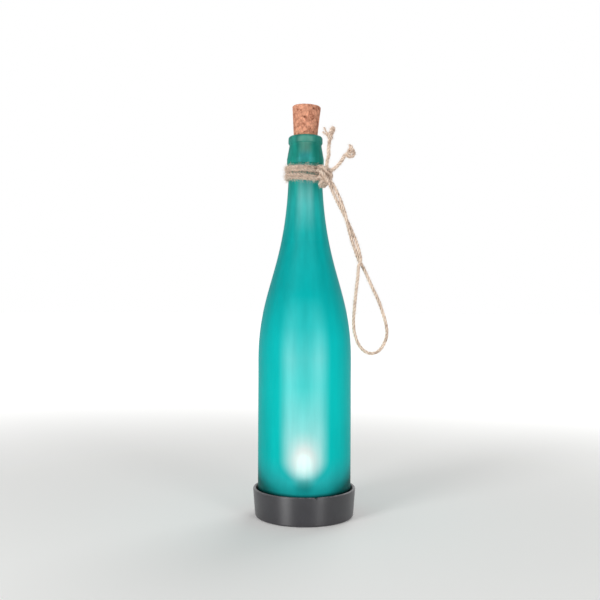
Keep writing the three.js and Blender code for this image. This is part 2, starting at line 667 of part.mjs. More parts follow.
function batteryGeometry() {
  return turned([
    [0, 0],
    [BATTERY_RADIUS - BATTERY_EDGE, 0],
    [BATTERY_RADIUS, BATTERY_EDGE],
    [BATTERY_RADIUS, BATTERY_LENGTH - BATTERY_EDGE],
    [BATTERY_RADIUS - BATTERY_EDGE, BATTERY_LENGTH],
    [BATTERY_NUB_RADIUS, BATTERY_LENGTH],
    [BATTERY_NUB_RADIUS, BATTERY_LENGTH + BATTERY_NUB_LENGTH],
    [0, BATTERY_LENGTH + BATTERY_NUB_LENGTH],
  ], BATTERY_SIDES);
}

function holderGeometry() {
  const innerLength = holderInnerMaxX - holderInnerMinX;
  const innerWidth = 2 * (BATTERY_RADIUS + FIT);
  const middleX = (holderInnerMinX + holderInnerMaxX) / 2;
  const outer = block(
    innerLength + 2 * HOLDER_WALL,
    innerWidth + 2 * HOLDER_WALL,
    holderZ,
    holderTopZ,
    middleX,
    holderY,
  );
  const cavity = block(
    innerLength,
    innerWidth,
    holderZ + HOLDER_WALL,
    holderTopZ + OVERLAP,
    middleX,
    holderY,
  );
  return shaped(outer, [], [cavity]);
}

function contactGeometry(x) {
  return block(
    CONTACT_THICKNESS,
    CONTACT_WIDTH,
    holderZ + HOLDER_WALL + SEAT,
    holderTopZ + CONTACT_TAB,
    x + CONTACT_THICKNESS / 2,
    holderY,
  );
}

// The conical spring at the cell's flat end, wound along +X
function springPoints() {
  const points = [];
  const steps = SPRING_CURLS * SPRING_STEPS;
  const startX = minusContactX + CONTACT_THICKNESS + SEAT + SPRING_WIRE / 2;
  const endX = batteryNegativeX - SEAT - SPRING_WIRE / 2;
  for (let step = 0; step <= steps; step += 1) {
    const share = step / steps;
    const angle = 2 * Math.PI * SPRING_CURLS * share;
    const radius = THREE.MathUtils.lerp(SPRING_WIDE_RADIUS, SPRING_NARROW_RADIUS, share);
    points.push(new THREE.Vector3(
      THREE.MathUtils.lerp(startX, endX, share),
      holderY + radius * Math.cos(angle),
      batteryZ + radius * Math.sin(angle),
    ));
  }
  return points;
}

function switchGeometry() {
  const body = block(SWITCH_WIDTH, SWITCH_LENGTH, switchZ, switchTopZ, switchX);
  const pins = [-1, 1].map((side) => block(
    SWITCH_PIN,
    SWITCH_PIN,
    switchTopZ - OVERLAP,
    switchTopZ + 2 * SWITCH_PIN,
    switchX,
    (side * SWITCH_PIN_PITCH) / 2,
  ));
  return shaped(body, pins, []);
}

// The thumb pad under the base and the stem that carries it through the floor, at the end of its travel
function knobGeometry() {
  const y = -SWITCH_TRAVEL / 2;
  const padTopZ = UNDERSIDE_RECESS - SEAT;
  const stem = block(KNOB_STEM[0], KNOB_STEM[1], padTopZ - OVERLAP, switchZ - SEAT, switchX, y);
  const pad = block(KNOB_PAD[0], KNOB_PAD[1], padTopZ - KNOB_PAD[2], padTopZ, switchX, y);
  return shaped(pad, [stem], []);
}

function wire(points) {
  const route = points.map((point) => new THREE.Vector3(...point));
  return cord(route, WIRE_DIAMETER, WIRE_SIDES, WIRE_STEPS * (points.length - 1));
}

// From the back of the solar panel up through the pocket's roof and over the board's rear edge
function panelWireGeometry(x) {
  const padY = boardBackY - BOARD_HOLE_INSET;
  return wire([
    [x, panelWireY, panelTopZ + SEAT],
    [x, panelWireY, shelfZ],
    [x, panelWireY, boardTopZ],
    [x, (panelWireY + padY) / 2, boardTopZ + WIRE_ARCH],
    [x, padY, boardTopZ + WIRE_LEAD],
    [x, padY, boardTopZ + SEAT],
  ]);
}

// From the tab of a battery contact down to the front of the board
function batteryWireGeometry(tabX, padX) {
  const tabZ = holderTopZ + CONTACT_TAB + SEAT;
  const padY = boardFrontY + BOARD_HOLE_INSET;
  return wire([
    [tabX, holderY + WIRE_TAB_SHIFT, tabZ],
    [tabX, holderY + WIRE_TAB_SHIFT, tabZ + WIRE_LEAD],
    [(2 * tabX + padX) / 3, boardFrontY, tabZ + WIRE_LEAD],
    [(tabX + 5 * padX) / 6, padY - WIRE_DIAMETER / 2, boardTopZ + WIRE_ARCH],
    [padX, padY, boardTopZ + WIRE_LEAD],
    [padX, padY, boardTopZ + SEAT],
  ]);
}

// From a pin of the switch over the pocket's edge to the side of the board
function switchWireGeometry(pinY, padY) {
  const pinZ = switchTopZ + 2 * SWITCH_PIN + SEAT;
  const padX = BOARD_WIDTH / 2 - BOARD_HOLE_INSET / 2;
  const topZ = boardTopZ + WIRE_ARCH;
  return wire([
    [switchX, pinY, pinZ],
    [switchX, pinY, pinZ + WIRE_LEAD],
    [switchX - 2 * WIRE_DIAMETER, pinY, topZ],
    [(switchX + padX) / 2, (pinY + padY) / 2, topZ],
    [padX + WIRE_LEAD, padY, boardTopZ + 2 * WIRE_LEAD],
    [padX, padY, boardTopZ + WIRE_LEAD],
    [padX, padY, boardTopZ + SEAT],
  ]);
}

// The winding round the neck: out of the knot's side, round the neck and up, and over the strands below
// to the knot's back
function wrapPoints() {
  const points = [];
  const startX = knotMiddle.x - KNOT_HALF[0] - FIT;
  const endY = knotMiddle.y + KNOT_HALF[1] + FIT;
  for (let step = 0; step < WRAP_END_STEPS; step += 1) {
    points.push(new THREE.Vector3(startX * (1 - step / WRAP_END_STEPS), -wrapRadius, wrapBottomZ));
  }
  const climbSteps = WRAP_TURNS * WRAP_STEPS;
  const crossingSteps = WRAP_STEPS / 4;
  const crossingRadius = wrapRadius + wrapPitch;
  const crossingEndZ = wrapTopZ - WRAP_CROSSING_DROP;
  for (let step = 0; step <= climbSteps + crossingSteps; step += 1) {
    const angle = -Math.PI / 2 - (2 * Math.PI * step) / WRAP_STEPS;
    const climbed = Math.min(step / climbSteps, 1);
    const crossed = Math.max((step - climbSteps) / crossingSteps, 0);
    const outward = THREE.MathUtils.smoothstep(crossed, 0, 0.5);
    const downward = THREE.MathUtils.smoothstep(crossed, 0.5, 1);
    const radius = THREE.MathUtils.lerp(wrapRadius, crossingRadius, outward);
    const climbZ = THREE.MathUtils.lerp(wrapBottomZ, wrapTopZ, climbed);
    const z = THREE.MathUtils.lerp(climbZ, crossingEndZ, downward);
    points.push(new THREE.Vector3(radius * Math.cos(angle), radius * Math.sin(angle), z));
  }
  for (let step = 1; step <= WRAP_END_STEPS; step += 1) {
    points.push(new THREE.Vector3(crossingRadius, (endY * step) / WRAP_END_STEPS, crossingEndZ));
  }
  return points;
}

// One strand of the twisted pair, turning round the middle of the pair, from the exit to the loop
function pairStrand(exit, phase) {
  const middle = new THREE.CatmullRomCurve3(
    PAIR_ROUTE.map((point) => new THREE.Vector3(...point).add(exit)),
    false,
    'centripetal',
  );
  const frames = middle.computeFrenetFrames(PAIR_STEPS);
  const points = middle.getSpacedPoints(PAIR_STEPS);
  return points.map((point, step) => {
    const turn = THREE.MathUtils.lerp(PAIR_TWIST_START, PAIR_TWIST_END, step / PAIR_STEPS) + phase;
    return point
      .addScaledVector(frames.normals[step], pairRadius * Math.cos(turn))
      .addScaledVector(frames.binormals[step], pairRadius * Math.sin(turn));
  });
}

function loopPoints() {
  const exit = new THREE.Vector3(
    knotMiddle.x + LOOP_EXIT[0],
    knotMiddle.y - KNOT_HALF[1] - FIT,
    knotMiddle.z + LOOP_EXIT[1],
  );
  return [
    ...pairStrand(exit, 0),
    ...LOOP_ROUTE.map((point) => new THREE.Vector3(...point).add(exit)),
    ...pairStrand(exit, Math.PI).reverse(),
  ];
}

// A tail of the knot and the small knot on its end
function addTail(group, name, start, route, endKnot) {
  const points = route.map((point) => new THREE.Vector3(...point).add(start));
  addPart(group, `twine_${name}`, cord(points, TWINE_DIAMETER, TWINE_SIDES, TAIL_STEPS), FINISH.twine);
  const lump = new THREE.SphereGeometry(1, TAIL_KNOT_SIDES, TAIL_KNOT_RINGS);
  lump.scale(...endKnot.radii);
  const mesh = addPart(group, `${name}_knot`, lump, FINISH.twine);
  mesh.position.set(...endKnot.middle).add(start);
}

function buildBase() {
  const base = new THREE.Group();
  addPart(base, 'base_cup', cupGeometry(), FINISH.charcoalPlastic);
  addPart(base, 'bottle_gasket', gasketGeometry(), FINISH.rubber);
  addPart(base, 'spigot_o_ring', oRingGeometry(), FINISH.rubber);
  const windowPlate = roundedPlate(2 * windowHalf, 2 * windowHalf, WINDOW_THICKNESS, WINDOW_CORNER);
  addPart(base, 'solar_window', windowPlate, FINISH.clearPlastic).position.z = windowZ;
  const panelPlate = roundedPlate(2 * panelHalf, 2 * panelHalf, PANEL_THICKNESS, PANEL_CORNER);
  addPart(base, 'solar_panel', panelPlate, FINISH.siliconBlue).position.z = panelZ;
  addPart(base, 'tray_cover', trayGeometry(), FINISH.whitePlastic);
  addPart(base, 'led_socket', socketGeometry(), FINISH.blackPlastic);
  addPart(base, 'led_emitter', ledGeometry(), FINISH.milkyPlastic);
  addPart(base, 'led_diffuser', diffuserGeometry(), FINISH.milkyPlastic);
  trayScrewPlaces.forEach(([x, y], index) => {
    const geometry = screwGeometry(
      TRAY_SCREW_RADIUS,
      TRAY_SCREW_LENGTH,
      TRAY_SCREW_HEAD_RADIUS,
      TRAY_SCREW_HEAD_HEIGHT,
    );
    const screw = addPart(base, `tray_screw_${index + 1}`, geometry, FINISH.steel);
    screw.position.set(x, y, traySeatZ - SEAT);
  });
  return base;
}

function buildElectronics() {
  const electronics = new THREE.Group();
  addPart(electronics, 'circuit_board', boardGeometry(), FINISH.boardGreen);
  const chipZ = boardTopZ + SEAT;
  const [chipX, chipY] = CHIP_POSITION;
  const chip = block(CHIP_SIZE[0], CHIP_SIZE[1], chipZ, chipZ + CHIP_SIZE[2], chipX, boardFrontY + chipY);
  addPart(electronics, 'driver_chip', chip, FINISH.blackPlastic);
  const coil = addPart(electronics, 'boost_coil', bar(COIL_RADIUS, 0, COIL_LENGTH), FINISH.coilGreen);
  coil.rotation.x = -Math.PI / 2;
  const coilY = boardFrontY + COIL_POSITION[1] - COIL_LENGTH / 2;
  coil.position.set(COIL_POSITION[0], coilY, boardTopZ + SEAT + COIL_RADIUS);
  boardScrewPlaces.forEach(([x, y], index) => {
    const geometry = screwGeometry(
      BOARD_SCREW_RADIUS,
      BOARD_SCREW_LENGTH,
      BOARD_SCREW_HEAD_RADIUS,
      BOARD_SCREW_HEAD_HEIGHT,
    );
    const screw = addPart(electronics, `board_screw_${index + 1}`, geometry, FINISH.steel);
    screw.rotation.x = Math.PI;
    screw.position.set(x, y, boardTopZ + SEAT);
  });
  addPart(electronics, 'battery_holder', holderGeometry(), FINISH.blackPlastic);
  const battery = addPart(electronics, 'battery_cell', batteryGeometry(), FINISH.batterySleeve);
  battery.rotation.y = Math.PI / 2;
  battery.position.set(batteryNegativeX, holderY, batteryZ);
  addPart(electronics, 'battery_contact_plus', contactGeometry(plusContactX), FINISH.steel);
  addPart(electronics, 'battery_contact_minus', contactGeometry(minusContactX), FINISH.steel);
  const spring = springPoints();
  const coiled = cord(spring, SPRING_WIRE, SPRING_SIDES, spring.length - 1);
  addPart(electronics, 'battery_spring', coiled, FINISH.steel);
  console.log('battery spring, least gap to itself:', leastGap(spring, SPRING_WIRE).toFixed(2), 'mm');
  addPart(electronics, 'switch_body', switchGeometry(), FINISH.blackPlastic);
  addPart(electronics, 'switch_knob', knobGeometry(), FINISH.blackPlastic);
  return electronics;
}

function buildWires() {
  const wires = new THREE.Group();
  const batteryPadX = BOARD_WIDTH / 2 - BOARD_HOLE_INSET;
  const contactMiddle = CONTACT_THICKNESS / 2;
  const switchPadYs = [2, 3].map((place) => boardFrontY + place * BOARD_HOLE_INSET);
  const pinY = SWITCH_PIN_PITCH / 2;
  addPart(wires, 'panel_wire_minus', panelWireGeometry(panelWireXs[0]), FINISH.blackWire);
  addPart(wires, 'panel_wire_plus', panelWireGeometry(panelWireXs[1]), FINISH.redWire);
  const minusWire = batteryWireGeometry(minusContactX + contactMiddle, -batteryPadX);
  addPart(wires, 'battery_wire_minus', minusWire, FINISH.blackWire);
  const plusWire = batteryWireGeometry(plusContactX + contactMiddle, batteryPadX);
  addPart(wires, 'battery_wire_plus', plusWire, FINISH.redWire);
  addPart(wires, 'switch_wire_in', switchWireGeometry(-pinY, switchPadYs[0]), FINISH.redWire);
  addPart(wires, 'switch_wire_out', switchWireGeometry(pinY, switchPadYs[1]), FINISH.blackWire);
  return wires;
}

function buildBottle() {
  const group = new THREE.Group();
  addPart(group, 'bottle', bottleGeometry(), FINISH.frostedGlass);
  const cork = addPart(group, 'cork_stopper', corkGeometry(), FINISH.cork);
  cork.position.z = lipTopZ;
  cork.rotation.y = CORK_LEAN;
  return group;
}

function buildTwine() {
  const twine = new THREE.Group();
  const wrap = wrapPoints();
  addPart(twine, 'twine_neck_wrap', cord(wrap, TWINE_DIAMETER, WRAP_SIDES, wrap.length - 1), FINISH.twine);
  console.log('neck wrap, least gap to itself:', leastGap(wrap, TWINE_DIAMETER).toFixed(2), 'mm');
  const [halfX, halfY, halfZ] = KNOT_HALF;
  const knot = new RoundedBoxGeometry(2 * halfX, 2 * halfY, 2 * halfZ, KNOT_ROUND_STEPS, KNOT_ROUND);
  addPart(twine, 'twine_knot', knot, FINISH.twine).position.copy(knotMiddle);
  const loop = loopPoints();
  addPart(twine, 'twine_hanging_loop', cord(loop, TWINE_DIAMETER, TWINE_SIDES, LOOP_STEPS), FINISH.twine);
  console.log('hanging loop, least gap to itself:', leastGap(loop, TWINE_DIAMETER).toFixed(2), 'mm');
  const knotTop = new THREE.Vector3(0, 0, halfZ + FIT).add(knotMiddle);
  addTail(twine, 'tail_up', knotTop, TAIL_UP_ROUTE, TAIL_UP_KNOT);
  const knotSide = new THREE.Vector3(halfX + FIT, 0, 0).add(knotMiddle);
  addTail(twine, 'tail_side', knotSide, TAIL_SIDE_ROUTE, TAIL_SIDE_KNOT);
  return twine;
}

const lamp = new THREE.Group();
lamp.add(buildBase(), buildElectronics(), buildWires(), buildBottle(), buildTwine());

export default lamp;
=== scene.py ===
"""Looks of a solar bottle lamp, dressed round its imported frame.

The frame holds every solid of the lamp at its real size, in metres, with +Z up and the front facing -Y.
The operators below replace the plain solids by finished pieces: frosted glass, grained cork, twisted jute
with its loose fibres, moulded plastic, and the light unit in the base.
"""

import math

import bmesh
import bpy
from mathutils import Matrix, Vector, geometry


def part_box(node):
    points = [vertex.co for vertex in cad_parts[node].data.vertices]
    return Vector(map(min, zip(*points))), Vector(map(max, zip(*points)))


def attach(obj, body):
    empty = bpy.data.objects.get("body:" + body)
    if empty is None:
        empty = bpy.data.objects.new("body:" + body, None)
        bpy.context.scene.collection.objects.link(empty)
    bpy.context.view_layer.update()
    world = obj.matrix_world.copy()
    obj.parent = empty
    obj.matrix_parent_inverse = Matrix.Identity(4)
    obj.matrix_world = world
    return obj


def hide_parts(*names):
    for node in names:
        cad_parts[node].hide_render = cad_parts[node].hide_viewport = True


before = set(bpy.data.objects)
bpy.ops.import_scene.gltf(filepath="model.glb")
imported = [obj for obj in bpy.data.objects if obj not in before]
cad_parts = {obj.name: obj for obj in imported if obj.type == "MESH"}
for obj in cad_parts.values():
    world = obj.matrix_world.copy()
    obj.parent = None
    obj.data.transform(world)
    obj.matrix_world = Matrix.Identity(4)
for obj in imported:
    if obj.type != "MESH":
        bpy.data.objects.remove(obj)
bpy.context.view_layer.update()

bl_info = {
    "name": "Solar bottle lamp",
    "version": (1, 0, 0),
    "blender": (4, 5, 0),
    "location": "3D View > Sidebar > Bottle lamp",
    "description": "Dresses a solar bottle lamp with glass, cork, twine, plastic and light",
    "category": "Object",
}

MM = 0.001

# Camera, level with the middle of the bottle
CAMERA_PLACE = (-0.00365, -0.622, 0.1602)
CAMERA_ROLL = math.radians(-0.22)
CAMERA_LENS = 50.0
SENSOR_WIDTH = 36.0
CLIP_START = 0.01

# Studio lights: name, the look that gives the power, place, width and length
LIGHT_TARGET = Vector((0, 0, 0.15))
STUDIO_LIGHTS = (
    ("key_light", "key", (-0.66, -0.74, 0.3), 0.32, 0.8),
    ("fill_light", "fill", (0.62, -0.9, 0.28), 0.3, 0.7),
    ("back_light", "back", (0.35, 0.7, 0.85), 0.6, 0.6),
)

# Fineness of the meshes
ROUND_SIDES = 144
SMALL_SIDES = 48
CURVE_POINTS = 48
ROUTE_STEPS = 24
TWINE_STEP = 0.5 * MM
YARN_SIDES = 12
FIBRE_STEPS = 3
FIBRE_SIDES = 3
WELD_DISTANCE = 0.001 * MM
SHARP_ANGLE = math.radians(32)
FLAT_ANGLE = math.radians(0.5)
EASE_SEGMENTS = 2

# Floor, a wide disc under the lamp
FLOOR_RADIUS = 9.0
FLOOR_DEPTH = 0.02

# Bottle, as radius and height
BODY_RADIUS = 34.5 * MM
BODY_INNER_RADIUS = 31.7 * MM
BOTTLE_BOTTOM = 8.8 * MM
BOTTLE_EDGE_ROUND = 0.8 * MM
BODY_STEP = 6 * MM
SHOULDER_START = 116 * MM
SHOULDER_LOW_PULL = 168 * MM
SHOULDER_HIGH_PULL = 180 * MM
SHOULDER_LEAN = 3.015 * MM
NECK_FOOT = 247 * MM
NECK_FOOT_RADIUS = 12.73 * MM
NECK_RADIUS = 12.45 * MM
NECK_STRAIGHT = 250.4 * MM
NECK_BORE_RADIUS = 9.05 * MM
COLLAR_BOTTOM = 260.5 * MM
COLLAR_RADIUS = 13.75 * MM
COLLAR_TOP = 264.6 * MM
THROAT_RADIUS = 11.9 * MM
THROAT_HEIGHT = 275.2 * MM
LIP_RADIUS = 12.75 * MM
LIP_TOP = 282 * MM
LIP_ROUND = 2.1 * MM
MOUTH_ROUND = 0.8 * MM

# Cork, from the lip of the bottle
CORK_TOP_RADIUS = 10.6 * MM
CORK_END_RADIUS = 7.72 * MM
CORK_STAND = 22.5 * MM
CORK_DEPTH = 14.5 * MM
CORK_CHAMFER = 0.7 * MM
CORK_LEAN = math.radians(2)
CORK_STEP = 0.42 * MM

# Base cup
RIM_RADIUS = 38 * MM
RIM_ROUND = 1.1 * MM
CUP_HEIGHT = 21.3 * MM
FOOT_RADIUS = 36.6 * MM
FOOT_ROUND = 1.8 * MM
UNDERSIDE_RADIUS = 33.2 * MM
UNDERSIDE_RECESS = 1.4 * MM
FLOOR_TOP = 3.2 * MM
CHANNEL_RADIUS = 34.87 * MM
CHANNEL_FLOOR = 7.2 * MM
SPIGOT_RADIUS = 31.2 * MM
SPIGOT_BORE = 28.8 * MM
SPIGOT_TOP = 18.2 * MM
SPIGOT_CHAMFER = 0.4 * MM
GROOVE_RADIUS = 29.7 * MM
GROOVE_HEIGHTS = (12 * MM, 14 * MM)
SHELF_HALF = 22.95 * MM
SHELF_TOP = 5.9 * MM
WINDOW_POCKET_HALF = 21.65 * MM
WINDOW_POCKET_TOP = 3.0 * MM
PANEL_POCKET_HALF = 20.15 * MM
PANEL_POCKET_TOP = 4.4 * MM
KNOB_SLOT = (2.2 * MM, 5.2 * MM)
SWITCH_X = 25.05 * MM
SCREW_CIRCLE = 26.4 * MM
SCREW_ANGLES = [math.radians(bearing) for bearing in (90, 180, 270)]
SCREW_PLACES = [(SCREW_CIRCLE * math.cos(angle), SCREW_CIRCLE * math.sin(angle)) for angle in SCREW_ANGLES]
SCREW_HEAD_HOLE = 2.3 * MM
SCREW_HEAD_SEAT = 3.4 * MM
SCREW_HOLE = 1.3 * MM
SCREW_BOSS = 2.8 * MM
SCREW_BOSS_TOP = 10.2 * MM
BOARD_BOSS = 2.2 * MM
BOARD_BOSS_TOP = 7.9 * MM
BOARD_HOLE = 1.1 * MM
BOARD_SCREW_PLACES = ((-11 * MM, 14 * MM), (11 * MM, 14 * MM))
WIRE_HOLE = 0.9 * MM
WIRE_HOLE_PLACES = ((-1.5 * MM, 18.425 * MM), (1.5 * MM, 18.425 * MM))
OVERLAP = 0.5 * MM
NICK_BEARING = math.radians(-77.4)
NICK_HALF_WIDTH = 1.3 * MM
NICK_DEPTH = 0.8 * MM

# Light unit and seals
TRAY_HOLE = 4.2 * MM
TRAY_LIP_RADII = (27.3 * MM, 28.5 * MM)
TRAY_LIP_BOTTOM = 16.4 * MM
TRAY_BOTTOM = 18.4 * MM
TRAY_TOP = 20 * MM
TRAY_RADIUS = 31 * MM
PILLAR_RADIUS = 2.1 * MM
PILLAR_BOTTOM = 10.4 * MM
PILLAR_HOLE_TOP = 15 * MM
SOCKET_RADIUS = 6.6 * MM
SOCKET_NECK_RADIUS = 3.9 * MM
SOCKET_BORE = 2 * MM
SOCKET_HEIGHTS = (17.4 * MM, 20.2 * MM, 23 * MM)
SOCKET_RECESS = (3.2 * MM, 21.8 * MM)
LED_RADIUS = 2.5 * MM
LED_FLANGE_RADIUS = 2.9 * MM
LED_HEIGHTS = (22 * MM, 23 * MM, 30.6 * MM)
LED_LEG = 0.5 * MM
LED_LEG_X = 1.27 * MM
LED_LEG_BOTTOM = 9.9 * MM
DIFFUSER_RADIUS = 5.8 * MM
DIFFUSER_WALL = 1.5 * MM
DIFFUSER_BOTTOM = 23.2 * MM
DIFFUSER_DOME = 8 * MM
DIFFUSER_TOP = 45.7 * MM
DIFFUSER_FULL_GLOW = DIFFUSER_TOP - 5 * MM
GASKET_RADII = (31.5 * MM, 34.57 * MM)
GASKET_HEIGHTS = (7.4 * MM, 8.6 * MM)
O_RING_MIDDLE = (30.7 * MM, 13 * MM)
O_RING_HALF = 0.8 * MM

# Widths of eased edges
CUP_EDGE = 0.22 * MM
SOFT_EDGE = 0.2 * MM
CRISP_EDGE = 0.15 * MM
FINE_EDGE = 0.12 * MM
THIN_EDGE = 0.08 * MM
ROUND_PIECE = 0

# Solids that are finished as they are: node, slot and the width of their eased edges
COPIED_NODES = (
    ("circuit_board", "board_green", FINE_EDGE),
    ("driver_chip", "black_plastic", CRISP_EDGE),
    ("boost_coil", "coil_green", SOFT_EDGE),
    ("battery_cell", "battery_sleeve", ROUND_PIECE),
    ("battery_holder", "black_plastic", CRISP_EDGE),
    ("battery_contact_plus", "contact_steel", THIN_EDGE),
    ("battery_contact_minus", "contact_steel", THIN_EDGE),
    ("battery_spring", "contact_steel", ROUND_PIECE),
    ("switch_body", "black_plastic", FINE_EDGE),
    ("panel_wire_minus", "black_wire", ROUND_PIECE),
    ("panel_wire_plus", "red_wire", ROUND_PIECE),
    ("battery_wire_minus", "black_wire", ROUND_PIECE),
    ("battery_wire_plus", "red_wire", ROUND_PIECE),
    ("switch_wire_in", "red_wire", ROUND_PIECE),
    ("switch_wire_out", "black_wire", ROUND_PIECE),
    ("switch_knob", "black_plastic", CRISP_EDGE),
)

# Light in the glass: how heights are stretched, and the reaches over which each light and shade fades
LIGHT_MIDDLE = 47 * MM
SOCKET_MIDDLE = 27.5 * MM
GLOW_STRETCH = 1.25
GLOW_REACH = 41 * MM
COLUMN_FADE = (1.15, 20.6 * MM, 10.8 * MM)
HALO_FADE = (0.7, 17 * MM, 6 * MM)
SPOT_FADE = (0.8, 13 * MM, 5 * MM)
SOCKET_SHADE = (1.3, 12.5 * MM, 5.5 * MM, 1.0, 0.42)
DIP_ACROSS = (0.32, 0.1, 0.0, 0.45)
DIP_HEIGHTS = (75 * MM, 100 * MM)
CUP_SHADE = (CUP_HEIGHT - 0.8 * MM, CUP_HEIGHT + 1.6 * MM, 0.1, 1.0)
WRAP_SHADE = (4.2 * MM, 6.2 * MM, 0.05, 1.0)

# Glow of the glass: its fade by share of the reach, and its colours by share of the bottle's height
GLOW_FADE = ((0.58, 1), (0.7, 0.8), (0.82, 0.58), (0.9, 0.3), (1, 0))
GLOW_AROUND = (
    (0.06, (0, 0.2, 0.21)), (0.11, (0.015, 0.29, 0.3)), (0.17, (0, 0.34, 0.33)), (0.34, (0, 0.37, 0.36)),
    (0.46, (0, 0.34, 0.34)), (0.6, (0, 0.235, 0.24)), (0.74, (0, 0.22, 0.22)), (0.82, (0.01, 0.2, 0.2)),
    (0.9, (0, 0.04, 0.03)),
)
GLOW_AHEAD = (
    (0.09, (0, 0, 0)), (0.125, (0.31, 0.19, 0.19)), (0.165, (0.35, 0.2, 0.2)), (0.21, (0.33, 0.2, 0.2)),
    (0.27, (0.21, 0.18, 0.18)), (0.35, (0.13, 0.17, 0.17)), (0.42, (0.15, 0.15, 0.15)),
    (0.5, (0.04, 0.1, 0.1)), (0.58, (0, 0.05, 0.05)), (0.74, (0.01, 0.05, 0.05)), (0.84, (0.1, 0.1, 0.11)),
    (0.9, (0.02, 0.04, 0.05)), (0.945, (0.02, 0.07, 0.1)), (0.96, (0.07, 0.05, 0.04)),
    (0.974, (0.07, 0.04, 0.03)), (0.985, (0.08, 0.09, 0.07)), (1, (0.07, 0.08, 0.06)),
)
HALO_LIGHT = (0.28, 0.06, 0.06)
SPOT_LIGHT = (0.27, 0.02, 0.02)

# Lines on the solar cells, the band on the battery's sleeve and the rings on the coil
FINGER_SPACING = 0.6 * MM
FINGER_EDGE = (0.06 * MM, 0.1 * MM)
BAR_PLACE = 9.9 * MM
BAR_EDGE = (0.42 * MM, 0.5 * MM)
CELL_WIDTH = 9.92 * MM
GAP_EDGE = (0.16 * MM, 0.22 * MM)
BAND_FROM_END = 8 * MM
BAND_EDGE = (2.2 * MM, 2.3 * MM)
COIL_RING = 0.7 * MM
RING_EDGE = (0.3 * MM, 0.36 * MM)

# Distances from the lamp over which the floor's own light grows, and its least and most
FLOOR_LIGHT = (0.15, 1.1, 0.1, 0.8)

# Finenesses of patterns, the depths of those that are felt, and the widths of the worn rim, with its painted
# sheen, and of the worn foot
STREAK_FINENESS = 210.0
FROST_FINENESS = 2600.0
FROST_DEPTH = 0.05 * MM
SWELL_FINENESS = 620.0
JUTE_FINENESS = 160.0
JUTE_DEPTH = 0.16 * MM
FLECK_FINENESS = 560.0
FLECK_DEPTH = 0.12 * MM
RUBBED_EDGE = (1.5 * MM, 0.4 * MM)
SCUFF_FINENESS = 420.0
RIM_WEAR_AND_SHEEN = 0.7 * MM
WORN_FOOT = 0.9 * MM

# Moulded grains: fineness, limits of the roughness and depth
BASE_GRAIN = (2300.0, 0.4, 0.52, 0.02 * MM)
TRAY_GRAIN = (2000.0, 0.42, 0.58, 0.02 * MM)
BLACK_GRAIN = (3000.0, 0.4, 0.58, 0.02 * MM)
RUBBER_GRAIN = (1600.0, 0.72, 0.9, 0.03 * MM)
LIT_GRAIN = (1800.0, 0.35, 0.5, 0.01 * MM)
LACQUER_GRAIN = (1500.0, 0.25, 0.4, 0.01 * MM)
SLEEVE_GRAIN = (900.0, 0.22, 0.36, 0.01 * MM)
WIRE_GRAIN = (2500.0, 0.4, 0.55, 0.01 * MM)
SCREW_GRAIN = (5200.0, 0.26, 0.44, 0.01 * MM)
CONTACT_GRAIN = (3000.0, 0.14, 0.28, 0.005 * MM)

# Twine
LOOP_FULLNESS = 2.5 * MM
WRAP_DIAMETER = 2.75 * MM
KNOT_DIAMETER = 2.9 * MM
END_KNOT_DIAMETER = 2.3 * MM
TAIL_FULLNESS = 2.75 * MM
FRAYED_DIAMETER = 1.3 * MM
# Painted lighting: how much paler or darker each piece of twine is painted.
FREE_PAINTED_LIGHTING = 1.15
WRAP_PAINTED_LIGHTING = 0.85
KNOT_PAINTED_LIGHTING = 1.0
WRAP_RADIUS = 13.725 * MM
WRAP_PITCH = 2.65 * MM
WRAP_BOTTOM = 249.85 * MM
WRAP_TOP = 259.125 * MM
WRAP_START_X = 9.23 * MM
WRAP_END_Y = -10.1 * MM
WRAP_END_HEIGHT = 256.225 * MM
WRAP_TURNS = 3.5
WRAP_PAIRING = 0.3 * MM
WRAP_WANDER = 0.22 * MM
WRAP_WAVES = 2
WRAP_DROP = 1.35 * MM
WRAP_DROP_SHARE = 0.1
WRAP_DROP_REACH = 0.35
WRAP_STEPS = 48
WRAP_END_STEPS = 6
PAIR_RADIUS = 1.355 * MM
PAIR_STEPS = 18
PAIR_TWIST = (math.radians(-48), math.radians(270))

# Yarns as shares of the twine's diameter, fibres as shares of their length, and the turns of fibres
YARN_OFFSET = 0.235
YARN_RADIUS = 0.265
RIDGE_DEPTH = 0.12
FIBRE_BEND = {"Middle": (0.12, 0.0, 0.5), "End": (0.8, 0.25, 0.62)}
FIBRE_SWING = ((-0.7, -0.7, 0.0), (0.7, 0.7, 2 * math.pi))
SHORTEST_FIBRE = 0.3
FIBRE_TIP = 0.3

# The knot on the neck, and where the loop and the tails start
KNOT_LOW, KNOT_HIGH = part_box("twine_knot")
KNOT_MIDDLE = (KNOT_LOW + KNOT_HIGH) / 2
LOOP_EXIT = KNOT_MIDDLE + Vector((0.0016, -0.0035, -0.0029))
TAIL_UP_START = KNOT_MIDDLE + Vector((0, 0, 0.0089))
TAIL_SIDE_START = KNOT_MIDDLE + Vector((0.0052, 0, 0))

# Routes: the middle of the twisted pair, from its exit in front of the knot to where the loop opens
PAIR_ROUTE = (
    (0, 0, 0), (0, -0.0022, 0), (0.0009, -0.0047, -0.0014), (0.0028, -0.0057, -0.005),
    (0.0056, -0.0055, -0.011), (0.0111, -0.0044, -0.023), (0.0163, -0.0029, -0.0369),
    (0.0208, -0.0014, -0.0494), (0.0235, -0.0004, -0.0584),
)
